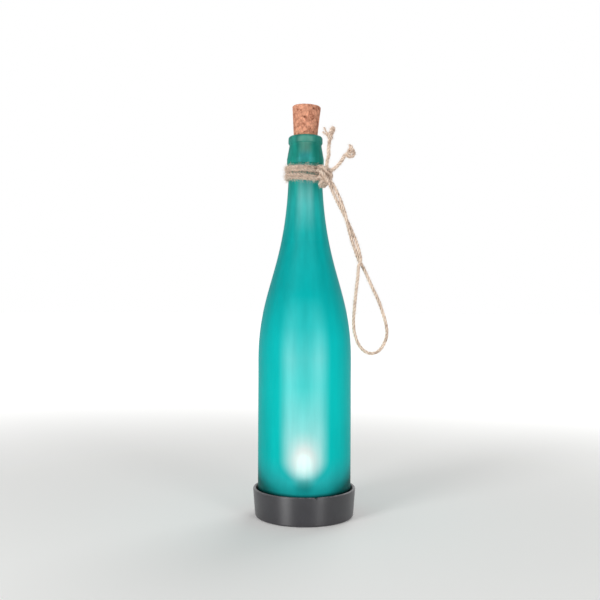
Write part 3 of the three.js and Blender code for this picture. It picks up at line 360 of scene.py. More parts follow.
# The open loop, from the same exit: down its near side, round and up the far side
LOOP_ROUTE = (
    (0.0228, -0.0022, -0.0624), (0.0221, -0.0016, -0.0704), (0.0208, 0, -0.0827), (0.0197, 0.0012, -0.0962),
    (0.0193, 0.0016, -0.1045), (0.0201, 0.0018, -0.1115), (0.0224, 0.002, -0.1184),
    (0.0261, 0.0021, -0.1237), (0.0317, 0.0021, -0.1264), (0.0373, 0.0021, -0.1249),
    (0.0413, 0.002, -0.1198), (0.0436, 0.0018, -0.1129), (0.0432, 0.0017, -0.1064),
    (0.0407, 0.0015, -0.0972), (0.0371, 0.0013, -0.0871), (0.0336, 0.0013, -0.0798),
    (0.0299, 0.0014, -0.0718), (0.0266, 0.0016, -0.0646),
)
# Tails, each from a root inside the knot to the middle of its end knot
TAIL_UP_ROOT = (
    (-0.0018, 0.0008, -0.0086), (-0.0012, 0.0006, -0.0058), (0.0004, -0.0003, -0.0032),
    (0.0011, 0.0001, -0.0013),
)
TAIL_UP_ROUTE = (
    (0.0012, 0.0004, 0), (0.0014, 0.0004, 0.0024), (0.0025, 0.0008, 0.0064), (0.0024, 0.001, 0.0105),
    (0.0029, 0.0012, 0.0157), (0.0031, 0.0013, 0.0179), (0.0034, 0.0014, 0.0228),
)
TAIL_SIDE_ROOT = (
    (-0.0072, 0.001, -0.0044), (-0.0068, 0.0008, -0.002), (-0.0056, 0.0002, 0.0002),
    (-0.0032, -0.0008, 0.0016), (-0.0012, -0.0002, 0.0034),
)
TAIL_SIDE_ROUTE = (
    (0.0007, 0.0005, 0.005), (0.0027, 0.0007, 0.0067), (0.0052, 0.001, 0.0093), (0.0076, 0.0014, 0.0127),
    (0.009, 0.0016, 0.0152), (0.0126, 0.0018, 0.0177),
)
# End knots of the tails and the frayed ends that stand out of them, from the end of each tail
TAIL_UP_KNOT = (
    (-0.0006, 0.0004, -0.0046), (0.0006, 0.0006, -0.002), (0.0021, 0.0005, 0.001), (0.0028, 0.0002, 0.0032),
    (0.0022, -0.0004, 0.0041), (0.0012, -0.0008, 0.003), (0.0004, -0.001, 0.0008),
    (-0.0004, -0.0012, -0.0014), (-0.0001, -0.0014, -0.003), (0.0012, -0.0006, -0.0036),
    (0.0008, 0.001, -0.0034), (-0.0008, 0.0012, -0.0026), (-0.0014, 0, -0.0018),
)
TAIL_UP_ENDS = (
    ((-0.0008, -0.0004, -0.0028), (-0.0024, -0.0006, 0.0002), (-0.0038, -0.0006, 0.0026),
     (-0.0043, -0.0006, 0.0041)),
    ((-0.0008, -0.0004, -0.003), (-0.0026, -0.0006, -0.0014), (-0.0044, -0.0004, 0),
     (-0.0054, -0.0004, 0.0008)),
)
TAIL_SIDE_KNOT = (
    (-0.0024, 0, -0.0026), (0.0002, -0.0008, -0.0034), (0.0024, -0.0006, -0.0028), (0.0034, 0, -0.0004),
    (0.0025, 0.0006, 0.0018), (0.0007, 0.0004, 0.0024), (-0.0008, -0.0006, 0.0012),
    (-0.0008, -0.0014, -0.0008), (0.0004, -0.0018, -0.0014), (0.0014, -0.0019, 0.0002),
    (0.0014, -0.0014, 0.0026), (0.0011, -0.001, 0.0047),
)
TAIL_SIDE_ENDS = (
    ((0.0008, -0.001, 0.002), (0.0004, -0.001, 0.004), (-0.0002, -0.001, 0.0056)),
)
# Strands of the knot on the neck, from its middle
KNOT_STRANDS = (
    # The upper band, across the front and into the first strand of the loop
    ((-0.0058, -0.0004, 0.0042), (-0.0038, -0.0024, 0.0034), (-0.0017, -0.0033, 0.0014),
     (-0.0002, -0.0028, -0.0006), (0.0006, -0.0024, -0.0017), (0.00069, -0.0035, -0.00189)),
    # The lower band, which dives under, comes round below and becomes the second strand of the loop
    ((-0.0052, -0.0001, -0.0009), (-0.0032, -0.0017, -0.0013), (-0.0012, -0.0014, -0.0022),
     (0.0008, 0.0002, -0.0036), (0.0008, 0.0014, -0.0059), (-0.0015, 0.0009, -0.0074),
     (-0.0036, -0.0008, -0.0069), (-0.0034, -0.0023, -0.0051), (-0.0012, -0.0026, -0.0043),
     (0.0012, -0.0022, -0.0041), (0.00251, -0.0035, -0.00391)),
    # The crescent on the right
    ((0.0002, -0.0008, 0.0024), (0.0022, -0.0024, 0.0026), (0.0041, -0.002, 0.0011),
     (0.0041, -0.0016, -0.0014), (0.0024, -0.0014, -0.0031), (0.0003, 0.0002, -0.0026)),
    # The strand over the top
    ((-0.0052, 0.0004, 0.0066), (-0.0032, -0.0016, 0.0068), (-0.0009, -0.0026, 0.0056),
     (0.0009, -0.0026, 0.0034), (0.0008, -0.0008, 0.0014)),
    # The last turn of the winding, which comes in at the back
    ((0.00195, 0.0035, 0.0055), (0.0018, 0.002, 0.0056), (0.0006, 0.0006, 0.0046),
     (-0.0014, 0.0004, 0.0018), (-0.0018, 0.0008, -0.0012)),
    # Turns inside the knot
    ((-0.0022, 0.0012, -0.0058), (-0.0008, 0.0014, -0.002), (0.001, 0.0012, 0.0024),
     (0.0004, 0.0012, 0.0068)),
    ((0.0026, 0.0012, -0.0036), (0.0029, 0.001, 0.0006), (0.0027, 0.0008, 0.0048)),
    ((-0.0032, 0.0009, -0.0034), (-0.0034, 0.0006, 0.0004), (-0.0031, 0.0008, 0.0044)),
    ((-0.0034, -0.0002, -0.0066), (-0.0012, -0.0012, -0.0058), (0.0012, -0.001, -0.0052),
     (0.0026, -0.0004, -0.0036)),
)


def rgb(red, green, blue):
    """A colour as a screen shows it, each part up to 255, in the linear values that shaders take."""
    shares = [part / 255 for part in (red, green, blue)]
    return tuple(share / 12.92 if share < 0.04 else ((share + 0.055) / 1.055) ** 2.4 for share in shares)


def rgba(colour):
    """A colour with full opacity."""
    return (*colour, 1.0)


def paler(colour, factor):
    """A colour made paler, up to white."""
    return tuple(min(1.0, part * factor) for part in colour)


def between(first, second, share):
    """A colour with a share of a second one in it."""
    return tuple((1 - share) * part + share * other for part, other in zip(first, second))


# Looks that a user may change

def colour(name, description, *parts):
    """A colour."""
    return bpy.props.FloatVectorProperty(
        name=name, description=description, default=rgb(*parts), subtype="COLOR", size=3, min=0, max=1,
    )


def number(name, description, default, high, low=0.0, **kind):
    """A number with its limits, and its unit or subtype."""
    return bpy.props.FloatProperty(
        name=name, description=description, default=default, min=low, max=high, **kind,
    )


def group(kind, name, description):
    """A group of looks."""
    return bpy.props.PointerProperty(type=kind, name=name, description=description)


class GlassLook(bpy.types.PropertyGroup):
    """Colours and glow of the bottle"""

    body: colour("Body", "Colour of the glass round the light", 0, 106, 103)
    neck: colour("Neck", "Colour of the thicker glass at the neck", 36, 142, 130)
    roughness: number("Frosting", "Roughness of the frosted glass", 0.42, 1, subtype="FACTOR")
    clearness: number("Clearness", "Share of the light that passes", 0.5, 1, subtype="FACTOR")
    # The glow is painted light: emission that stands in for the lamp's light scattered in the glass.
    glow: number("Glow", "Strength of the light scattered in the glass", 1.0, 4)


class TwineLook(bpy.types.PropertyGroup):
    """Build and colours of the jute twine"""

    plies: bpy.props.IntProperty(
        name="Plies", description="Yarns laid up in the twine", default=3, min=2, max=5,
    )
    lay: number("Lay", "Turns of the yarns in a metre of twine", 118.0, 400)
    unevenness: number("Unevenness", "How far the yarns swell and shrink", 0.16, 1, subtype="FACTOR")
    hairs: number("Hairs", "Loose fibres on a square millimetre", 1.1, 6)
    hair_length: number("Hair length", "Length of the longest loose fibres", 2.4 * MM, 0.01, unit="LENGTH")
    hair_radius: number(
        "Hair radius", "Half the thickness of the loose fibres", 0.05 * MM, 0.001, unit="LENGTH",
    )
    fibre: colour("Fibre", "Colour of the pale fibres", 225, 204, 186)
    shade: colour("Shade", "Colour between the fibres", 154, 120, 98)


class CorkLook(bpy.types.PropertyGroup):
    """Grain and colours of the cork"""

    grain: number("Grain", "Size of the pressed grains", 2.7 * MM, 0.01, 0.0005, unit="LENGTH")
    groove: number("Groove", "Depth of the grooves between grains", 0.1 * MM, 0.001, unit="LENGTH")
    pit: number("Pit", "Depth of the deepest pits", 0.5 * MM, 0.002, unit="LENGTH")
    pale: colour("Pale", "Colour of the pale grains", 216, 154, 125)
    dark: colour("Dark", "Colour of the dark flecks", 138, 72, 50)


class PlasticLook(bpy.types.PropertyGroup):
    """Colours of the plastics"""

    base: colour("Base", "Colour of the base cup", 38, 37, 42)
    # The worn colour also paints a sheen on the rim.
    worn: colour("Worn", "Colour of the base's worn edges", 112, 111, 116)
    tray: colour("Tray", "Colour of the cover over the electronics", 222, 220, 213)
    black: colour("Black", "Colour of the black mouldings", 26, 26, 28)


class LightLook(bpy.types.PropertyGroup):
    """Strength of the lamp's own light"""

    colour: colour("Light", "Colour of the light", 250, 255, 250)
    diffuser: number("Diffuser", "Strength of the diffuser's light", 9.0, 20)
    emitter: number("Emitter", "Strength of the emitter's light", 4.0, 40)


class StageLook(bpy.types.PropertyGroup):
    """Floor and studio light"""

    floor: colour("Floor", "Colour of the floor", 236, 236, 234)
    key: number("Key", "Main light", 6.8, 100, unit="POWER")
    fill: number("Fill", "Softer light", 3.4, 100, unit="POWER")
    back: number("Back", "Light behind", 3.5, 100, unit="POWER")
    ambient: number("Ambient", "Light from all round", 0.34, 2)


class LampLook(bpy.types.PropertyGroup):
    """All the looks of the lamp"""

    glass: group(GlassLook, "Glass", "Looks of the bottle")
    twine: group(TwineLook, "Twine", "Looks of the twine")
    cork: group(CorkLook, "Cork", "Looks of the cork")
    plastic: group(PlasticLook, "Plastic", "Looks of the plastics")
    light: group(LightLook, "Light", "The lamp's own light")
    stage: group(StageLook, "Stage", "Floor and studio light")


def look():
    """The looks set on the scene."""
    return bpy.context.scene.bottle_lamp


# Node trees

class Value:
    """An output of a node, which can be reckoned with like a number."""

    def __init__(self, nodes, socket):
        self.nodes = nodes
        self.socket = socket

    def __add__(self, other):
        return self.nodes.maths("ADD", self, other)

    def __sub__(self, other):
        return self.nodes.maths("SUBTRACT", self, other)

    def __rsub__(self, other):
        return self.nodes.maths("SUBTRACT", other, self)

    def __mul__(self, other):
        return self.nodes.maths("MULTIPLY", self, other)

    def __truediv__(self, other):
        return self.nodes.maths("DIVIDE", self, other)

    def __abs__(self):
        return self.nodes.maths("ABSOLUTE", self)

    def part(self, axis):
        """One part of a vector or a colour."""
        return self.nodes.put("ShaderNodeSeparateXYZ", {0: self}, axis)

    def scaled(self, scale):
        """A vector or a colour times a number."""
        return self.nodes.put("ShaderNodeVectorMath", {0: self, "Scale": scale}, operation="SCALE")

    def spread(self, low, high, to_low=0.0, to_high=1.0, kind="LINEAR"):
        """The value taken from one range to another and held there."""
        inputs = {0: self, 1: low, 2: high, 3: to_low, 4: to_high}
        return self.nodes.put("ShaderNodeMapRange", inputs, interpolation_type=kind)

    def smooth(self, *ranges):
        """The same, eased at both ends of the range."""
        return self.spread(*ranges, kind="SMOOTHSTEP")

    def ramp(self, stops):
        """The colour that a ramp with (place, colour) stops has at the value."""
        node = self.nodes.node("ShaderNodeValToRGB", {0: self})
        band = node.color_ramp.elements
        for element, (place, tint) in ((band[0], stops[0]), (band[1], stops[-1])):
            element.position = place
            element.color = rgba(tint)
        for place, tint in stops[1:-1]:
            band.new(place).color = rgba(tint)
        return Value(self.nodes, node.outputs[0])


class Nodes:
    """A node tree, with short ways to add to it."""

    def __init__(self, tree):
        self.tree = tree

    def feed(self, socket, value):
        """Link a value to a socket, or set the socket."""
        if isinstance(value, Value):
            self.tree.links.new(value.socket, socket)
        elif socket.type == "RGBA":
            socket.default_value = rgba(value)
        else:
            socket.default_value = value

    def node(self, kind, inputs, **settings):
        """A new node with its settings, and its inputs fed."""
        made = self.tree.nodes.new(kind)
        for name, value in settings.items():
            setattr(made, name, value)
        for key, value in inputs.items():
            self.feed(made.inputs[key], value)
        return made

    def put(self, kind, inputs=None, output=0, **settings):
        """An output of a new node, or a list of outputs."""
        made = self.node(kind, inputs or {}, **settings)
        if isinstance(output, tuple):
            return [Value(self, made.outputs[key]) for key in output]
        return Value(self, made.outputs[output])

    def maths(self, operation, *values):
        """A math node."""
        return self.put("ShaderNodeMath", dict(enumerate(values)), operation=operation)

    def vector(self, operation, *values, output=0):
        """A vector math node."""
        return self.put("ShaderNodeVectorMath", dict(enumerate(values)), output, operation=operation)

    def mix(self, share, first, second, blend="MIX"):
        """A node that mixes two colours."""
        inputs = {0: share, 6: first, 7: second}
        return self.put("ShaderNodeMix", inputs, 2, data_type="RGBA", blend_type=blend)

    def noise(self, vector, scale, detail=3.0, rough=0.55):
        """A noise texture."""
        inputs = {"Vector": vector, "Scale": scale, "Detail": detail, "Roughness": rough}
        return self.put("ShaderNodeTexNoise", inputs)

    def place(self):
        """The place on the piece, in metres."""
        return self.put("ShaderNodeTexCoord", output="Object")

    def shown_rays(self):
        """1 for rays that show a surface straight, through glass or in a reflection, and else 0."""
        rays = ("Is Camera Ray", "Is Transmission Ray", "Is Glossy Ray")
        straight, through, mirrored = self.put("ShaderNodeLightPath", output=rays)
        return self.maths("MAXIMUM", self.maths("MAXIMUM", straight, through), mirrored)

    def stored(self, shape, name, value, kind="FLOAT"):
        """Geometry with a value stored at its points."""
        inputs = {"Geometry": shape, "Name": name, "Value": value}
        return self.put("GeometryNodeStoreNamedAttribute", inputs, data_type=kind, domain="POINT")

    def pushed(self, shape, offset):
        """Geometry with its points pushed by an offset."""
        return self.put("GeometryNodeSetPosition", {"Geometry": shape, "Offset": offset})


class Finish(Nodes):
    """The nodes of a material, round its shader."""

    def shade(self, inputs):
        """Feed inputs of the shader."""
        for label, value in inputs.items():
            self.feed(self.tree.nodes["Principled BSDF"].inputs[label], value)

    def bump(self, height, distance):
        """Raise the surface by a height."""
        inputs = {"Height": height, "Distance": distance, "Strength": 1.0}
        self.shade({"Normal": self.put("ShaderNodeBump", inputs)})

    def grain(self, size, smooth, rough, depth):
        """Give the surface a moulded grain, with the limits of its roughness and its depth."""
        inputs = {"Grain": size, "Smooth": smooth, "Rough": rough}
        outputs = ("Roughness", "Height")
        roughness, height = self.put("ShaderNodeGroup", inputs, outputs, node_tree=effect("Moulded grain"))
        self.shade({"Roughness": roughness})
        self.bump(height, depth)

    def drifting(self, tint, size, drift):
        """A colour that drifts over the surface."""
        inputs = {"Colour": tint, "Size": size, "Drift": drift}
        return self.put("ShaderNodeGroup", inputs, "Colour", node_tree=effect("Tone drift"))

    def attribute(self, name, output="Fac"):
        """A value stored on the piece."""
        return self.put("ShaderNodeAttribute", output=output, attribute_name=name)

    def edge_on(self):
        """How much the glass is seen from its side: 0 straight on and 1 on its outline."""
        straight = 1.0 - self.put("ShaderNodeLayerWeight", {"Blend": 0.5}, "Facing")
        return self.maths("SQRT", 1.0 - straight * straight)


def opened(name, kind, inputs, outputs):
    """A new node tree with its sockets: its nodes, and the values that it is given."""
    made = bpy.data.node_groups.new(name, kind)
    for side, sockets in (("INPUT", inputs), ("OUTPUT", outputs)):
        for label, socket in sockets.items():
            made.interface.new_socket(label, in_out=side, socket_type=f"NodeSocket{socket}")
    nodes = Nodes(made)
    entry = made.nodes.new("NodeGroupInput")
    return nodes, {label: Value(nodes, entry.outputs[label]) for label in inputs}


def effect(name):
    """The shader node group of that name, built the first time that it is asked for."""
    if name not in bpy.data.node_groups:
        build, inputs, outputs = EFFECTS[name]
        nodes, given = opened(name, "ShaderNodeTree", inputs, outputs)
        nodes.node("NodeGroupOutput", build(nodes, given))
    return bpy.data.node_groups[name]


def build_grain(nodes, given):
    """Fine grain of a moulded surface: a height, and a roughness between two limits."""
    place = nodes.place()
    fine = nodes.noise(place, given["Grain"], 2.0)
    smudge = nodes.noise(place, given["Grain"] * 0.03, 4.0)
    patchy = fine * 0.45 + smudge * 0.55
    return {"Roughness": patchy.spread(0.3, 0.7, given["Smooth"], given["Rough"]), "Height": fine}


def build_drift(nodes, given):
    """A colour that drifts a little darker and lighter over the surface."""
    cloud = nodes.noise(nodes.place(), given["Size"], 5.0, 0.6)
    shade = cloud.spread(0.3, 0.7, 1.0 - given["Drift"], given["Drift"] + 1.0)
    return {"Colour": given["Colour"].scaled(shade)}


EFFECTS = {
    "Moulded grain": (
        build_grain, {"Grain": "Float", "Smooth": "Float", "Rough": "Float"},
        {"Roughness": "Float", "Height": "Float"},
    ),
    "Tone drift": (build_drift, {"Colour": "Color", "Size": "Float", "Drift": "Float"}, {"Colour": "Color"}),
}


# Materials

def paint_floor(finish):
    """Pale floor that keeps the shadow near the lamp and is white further off."""
    away = finish.vector("LENGTH", finish.place(), output="Value").smooth(*FLOOR_LIGHT)
    finish.shade({
        "Base Color": look().stage.floor, "Roughness": 0.9, "Specular IOR Level": 0.1,
        "Emission Color": (1, 1, 1), "Emission Strength": finish.shown_rays() * away,
    })


def paint_glass(finish):
    """Frosted teal glass with the lamp's light painted into it as a glow: palest round the light, darker at
    the sides, with painted shade at the socket, in the cup and under the winding.
    """
    glass = look().glass
    place = finish.place()
    height = place.part("Z")
    share = height.spread(0.0, LIP_TOP)
    # Painted shade darkens the glass below the cup's rim, and a painted highlight makes the top of the lip
    # paler.
    deep = tuple(0.2 * part for part in glass.body)
    pale = between(glass.neck, (1, 1, 1), 0.04)
    tint = share.ramp([
        (0.074, deep), (0.082, glass.body), (0.72, glass.body), (0.9, glass.neck), (0.972, glass.neck),
        (0.99, pale),
    ])
    streak = finish.noise(finish.vector("MULTIPLY", place, (1.0, 1.0, 0.1)), STREAK_FINENESS)
    patchy = streak.spread(0.35, 0.65, -0.3, 0.4) * height.spread(0.6 * LIP_TOP, 0.95 * LIP_TOP)
    side = finish.edge_on()
    rise = height - LIGHT_MIDDLE
    below = finish.maths("MINIMUM", rise, 0.0)
    beyond = abs(rise)

    def reach(upright, stretch):
        """How far the glass is seen from a point on the bottle's axis, with heights stretched."""
        away = finish.put("ShaderNodeCombineXYZ", {0: side * BODY_RADIUS, 1: upright * stretch})
        return finish.vector("LENGTH", away, output="Value")

    def fading(upright, stretch, *limits):
        """1 near a point on the bottle's axis and less further off."""
        return reach(upright, stretch).smooth(*limits)

    # Painted light: the glow is emission that stands in for the lamp's light in the glass, with a pale
    # column, a halo and a hot spot that face the viewer.
    fade = [(far, (grey, grey, grey)) for far, grey in GLOW_FADE]
    wide = reach(below, GLOW_STRETCH).spread(0.0, GLOW_REACH).ramp(fade)
    column = fading(below, *COLUMN_FADE) * (1.0 - side.smooth(*DIP_ACROSS) * height.spread(*DIP_HEIGHTS))
    halo = fading(beyond, *HALO_FADE)
    spot = fading(beyond, *SPOT_FADE)
    glow = finish.mix(1.0, share.ramp(GLOW_AROUND), wide, "MULTIPLY")
    for mask, light in ((column, share.ramp(GLOW_AHEAD)), (halo, HALO_LIGHT), (spot, SPOT_LIGHT)):
        glow = finish.mix(mask, glow, finish.mix(1.0, glow, light, "ADD"))
    # Painted shade on the glow: darker over the socket, where the glass sinks into the cup and under the
    # winding.
    socket = fading(height - SOCKET_MIDDLE, *SOCKET_SHADE)
    cup_painted_shade = height.spread(*CUP_SHADE)
    wrap_painted_shade = abs(height - (WRAP_BOTTOM + WRAP_TOP) / 2).spread(*WRAP_SHADE)
    shade = socket * cup_painted_shade * streak.spread(0.3, 0.7, 0.93, 1.07) * wrap_painted_shade
    frost = finish.noise(place, FROST_FINENESS, rough=0.7)
    finish.shade({
        "Base Color": finish.drifting(tint.scaled(patchy + 1.0), 60.0, 0.06),
        "Roughness": frost.spread(0.3, 0.7, glass.roughness - 0.07, glass.roughness + 0.09),
        "Transmission Weight": glass.clearness, "Specular IOR Level": 0.02, "IOR": 1.2,
        "Emission Color": glow.scaled(shade), "Emission Strength": glass.glow,
    })
    finish.bump(frost, FROST_DEPTH)


def paint_jute(finish):
    """Jute fibres that run along the yarns, with painted shade between the yarns and painted lighting that
    makes each piece paler or darker.
    """
    twine = look().twine
    run = finish.put("ShaderNodeCombineXYZ", {2: finish.attribute("along") * JUTE_FINENESS})
    fibre_place = finish.vector("ADD", finish.attribute("section", "Vector").scaled(2.2), run)
    streak = finish.noise(fibre_place, 2.4, 4.0, 0.65)
    tone = streak * 0.5 + finish.noise(finish.place(), 270.0, 2.0) * 0.5
    tint = tone.ramp([(0.34, twine.shade), (0.49, twine.fibre), (0.62, paler(twine.fibre, 1.12))])
    # Painted shade darkens the fibres between the yarns; the piece's painted lighting makes it paler or
    # darker.
    groove = finish.attribute("outness").spread(0.3, 0.43, 0.42, 1.0) * finish.attribute("paleness")
    finish.shade({
        "Base Color": tint.scaled(groove), "Roughness": streak.spread(0.3, 0.7, 0.95, 0.78),
        "Specular IOR Level": 0.25, "Sheen Weight": 0.25, "Sheen Roughness": 0.5,
    })
    finish.bump(streak, JUTE_DEPTH)


def paint_fibres(finish):
    """Single loose fibres, with painted light that makes them paler than the twine."""
    finish.shade({
        "Base Color": finish.drifting(paler(look().twine.fibre, 1.25), 900.0, 0.15),
        "Roughness": finish.noise(finish.place(), 900.0).spread(0.3, 0.7, 0.6, 0.85),
        "Specular IOR Level": 0.3,
    })


def cork_cells(nodes, place):
    """Distance to the edge of a pressed grain and the tone of that grain, and a mask of the pits."""
    grain = look().cork.grain
    scale = 1 / grain
    wobble = nodes.put("ShaderNodeTexNoise", {"Vector": place, "Scale": scale * 1.7, "Detail": 3.0}, "Color")
    cell = {"Vector": nodes.vector("ADD", place, wobble.scaled(0.35 * grain)), "Scale": scale}
    edge = nodes.put("ShaderNodeTexVoronoi", cell, "Distance", feature="DISTANCE_TO_EDGE")
    tone = nodes.put("ShaderNodeTexVoronoi", cell, "Color", feature="F1")
    hole = nodes.put("ShaderNodeTexVoronoi", {**cell, "Scale": scale * 0.62}, "Distance", feature="F1")
    return edge, tone, hole.smooth(0.26, 0.14)


def paint_cork(finish):
    """Pressed cork: grains of many browns, dark seams and darker pits, rubbed pale at the top edge."""
    cork = look().cork
    place = finish.place()
    edge, tone, pit = cork_cells(finish, place)
    flecks = finish.noise(place, FLECK_FINENESS, 6.0, 0.68).spread(0.32, 0.68)
    shade = tone.part("X") * 0.42 + flecks * 0.58
    light = paler(cork.pale, 1.25)
    rich = between(cork.pale, cork.dark, 0.45)
    tint = shade.ramp([(0.1, cork.dark), (0.32, rich), (0.55, cork.pale), (0.9, light)])
    seam = edge.spread(0.1, 0.0) * flecks.spread(0.2, 0.7, 0.15, 0.75)
    seamed = finish.mix(seam, tint, between(cork.dark, cork.pale, 0.3))
    pitted = finish.mix(pit * 0.85, seamed, tuple(0.55 * part for part in cork.dark))
    axis = (math.sin(CORK_LEAN), 0, math.cos(CORK_LEAN))
    rise = finish.vector("DOT_PRODUCT", place, axis, output="Value")
    top = CORK_STAND + LIP_TOP * math.cos(CORK_LEAN)
    rubbed = rise.spread(top - RUBBED_EDGE[0], top - RUBBED_EDGE[1]) * flecks.spread(0.0, 1.0, 0.2, 0.7)
    finish.shade({
        "Base Color": finish.mix(rubbed, pitted, light), "Roughness": flecks.spread(0.0, 1.0, 0.95, 0.8),
        "Specular IOR Level": 0.25,
    })
    finish.bump(flecks, FLECK_DEPTH)


def paint_base(finish):
    """Charcoal plastic with a fine grain, paler along the rim from wear and a painted sheen, and scuffed
    paler along the foot.
    """
    plastic = look().plastic
    place = finish.place()
    height = place.part("Z")
    # The paler rim is partly wear and partly a painted sheen; the paler foot is wear.
    rim = height.spread(CUP_HEIGHT - RIM_WEAR_AND_SHEEN, CUP_HEIGHT)
    foot = height.spread(WORN_FOOT, 0.0)
    scuff = finish.noise(place, SCUFF_FINENESS, 5.0, 0.7).spread(0.42, 0.62)
    wear_and_sheen = finish.maths("MAXIMUM", rim, foot * 0.35) * scuff
    worn = finish.mix(wear_and_sheen * 0.9, plastic.base, plastic.worn)
    finish.shade({
        "Base Color": finish.drifting(worn, 90.0, 0.16), "Specular IOR Level": 0.85,
        "Anisotropic": 0.85, "Anisotropic Rotation": 0.25,
    })
    finish.grain(*BASE_GRAIN)


def paint_plain(finish, tint, size, drift, *grain):
    """A moulded finish: a colour with the size and strength of its drift, and a grain."""
    finish.shade({"Base Color": finish.drifting(tint, size, drift)})
    finish.grain(*grain)


def paint_metal(finish, *values):
    """A plated finish, with the same values as a moulded one."""
    finish.shade({"Metallic": 1.0})
    paint_plain(finish, *values)


def paint_window(finish):
    """Clear plastic with faint rubbing marks."""
    marks = finish.noise(finish.vector("MULTIPLY", finish.place(), (1.0, 0.12, 1.0)), 900.0, 4.0, 0.7)
    finish.shade({
        "Base Color": rgb(236, 243, 244), "Transmission Weight": 1.0, "IOR": 1.49,
        "Roughness": marks.spread(0.45, 0.75, 0.04, 0.2),
    })


def paint_lit(finish, strength, tint, low, high):
    """Milky plastic lit from inside, more at a high place than at a low one."""
    glow = finish.place().part("Z").smooth(low, high, 0.06, 1.0)
    finish.shade({
        "Base Color": finish.drifting(tint, 150.0, 0.03), "Emission Strength": strength,
        "Emission Color": finish.drifting(look().light.colour, 220.0, 0.05).scaled(glow),
    })
    finish.grain(*LIT_GRAIN)


def paint_solar(finish):
    """Blue solar cells under fine silver fingers, with two broad bars and gaps between the cells."""
    place = finish.place()
    across = place.part("X")
    finger = finish.maths("PINGPONG", place.part("Y"), FINGER_SPACING).spread(*FINGER_EDGE, 1.0, 0.0)
    bar = abs(abs(across) - BAR_PLACE).spread(*BAR_EDGE, 1.0, 0.0)
    gap = finish.maths("PINGPONG", across, CELL_WIDTH).spread(*GAP_EDGE, 1.0, 0.0)
    shade = finish.put("ShaderNodeTexVoronoi", {"Vector": place, "Scale": 260.0}, "Color").part("X")
    cell = shade.ramp([(0.0, rgb(16, 24, 66)), (0.5, rgb(22, 34, 88)), (1.0, rgb(30, 46, 108))])
    parted = finish.mix(gap, cell, rgb(14, 15, 20))
    finish.shade({
        "Base Color": finish.mix(finish.maths("MAXIMUM", finger, bar), parted, rgb(176, 180, 184)),
        "Roughness": shade.spread(0.0, 1.0, 0.22, 0.34), "Metallic": bar * 0.8,
    })


def paint_board(finish):
    """Green lacquer over copper lines."""
    brick = {"Vector": finish.place(), "Scale": 330.0, "Mortar Size": 0.06, "Mortar Smooth": 0.2}
    lines = finish.put("ShaderNodeTexBrick", brick, "Fac")
    paint_plain(finish, finish.mix(lines, rgb(24, 84, 52), rgb(52, 122, 70)), 240.0, 0.12, *LACQUER_GRAIN)


def paint_coil(finish):
    """Lacquered coil body with coloured rings."""
    ring = finish.maths("PINGPONG", finish.place().part("Y"), COIL_RING).spread(*RING_EDGE)
    paint_plain(finish, finish.mix(ring, rgb(116, 74, 36), rgb(70, 146, 96)), 400.0, 0.1, *LACQUER_GRAIN)


def paint_cell(finish):
    """Shrink sleeve with a pale band, and bare metal ends."""
    along = finish.place().part("X")
    low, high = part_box("battery_cell")
    band = abs(along - (high.x - BAND_FROM_END)).spread(*BAND_EDGE, 1.0, 0.0)
    sleeve = finish.mix(band, rgb(38, 112, 68), rgb(206, 210, 204))
    flat_end = along.spread(low.x + 0.5 * MM, low.x + 0.4 * MM)
    ends = finish.maths("MAXIMUM", flat_end, along.spread(high.x - 1.5 * MM, high.x - 1.4 * MM))
    finish.shade({"Base Color": finish.mix(ends, sleeve, rgb(196, 198, 200)), "Metallic": ends})
    finish.grain(*SLEEVE_GRAIN)


def finishes():
    """The materials by slot: name, the function that paints it and the values that it takes."""
    plastic = look().plastic
    light = look().light
    return {
        "floor": ("Pale floor", paint_floor),
        "frosted_glass": ("Frosted glass", paint_glass),
        "jute_twine": ("Jute twine", paint_jute),
        "jute_fibres": ("Jute fibres", paint_fibres),
        "cork": ("Pressed cork", paint_cork),
        "charcoal_plastic": ("Charcoal plastic", paint_base),
        "white_plastic": ("White plastic", paint_plain, plastic.tray, 70.0, 0.04, *TRAY_GRAIN),
        "black_plastic": ("Black plastic", paint_plain, plastic.black, 200.0, 0.2, *BLACK_GRAIN),
        "clear_plastic": ("Clear plastic", paint_window),
        "milky_plastic": (
            "Milky plastic", paint_lit, light.diffuser, rgb(245, 247, 243), DIFFUSER_BOTTOM,
            DIFFUSER_FULL_GLOW,
        ),
        "led_resin": (
            "Light resin", paint_lit, light.emitter, rgb(248, 250, 247), LED_LEG_BOTTOM, LED_HEIGHTS[1],
        ),
        "solar_cell": ("Solar cells", paint_solar),
        "seal_rubber": ("Seal rubber", paint_plain, rgb(30, 30, 32), 300.0, 0.25, *RUBBER_GRAIN),
        "board_green": ("Green lacquer", paint_board),
        "coil_green": ("Coil lacquer", paint_coil),
        "battery_sleeve": ("Cell sleeve", paint_cell),
        "screw_steel": ("Plated steel", paint_metal, rgb(188, 190, 190), 700.0, 0.12, *SCREW_GRAIN),
        "contact_steel": ("Nickel plate", paint_metal, rgb(204, 202, 196), 500.0, 0.08, *CONTACT_GRAIN),
        "red_wire": ("Red wire", paint_plain, rgb(170, 36, 28), 500.0, 0.12, *WIRE_GRAIN),
        "black_wire": ("Black wire", paint_plain, rgb(28, 28, 30), 500.0, 0.15, *WIRE_GRAIN),
    }


def material(slot):
    """The material of a slot, painted the first time that it is asked for."""
    name, paint, *values = finishes()[slot]
    if name not in bpy.data.materials:
        made = bpy.data.materials.new(name)
        made.use_nodes = True
        paint(Finish(made.node_tree), *values)
    return bpy.data.materials[name]


# Meshes

def added(name, data):
    """A new object in the scene."""
    made = bpy.data.objects.new(name, data)
    bpy.context.scene.collection.objects.link(made)
    return made


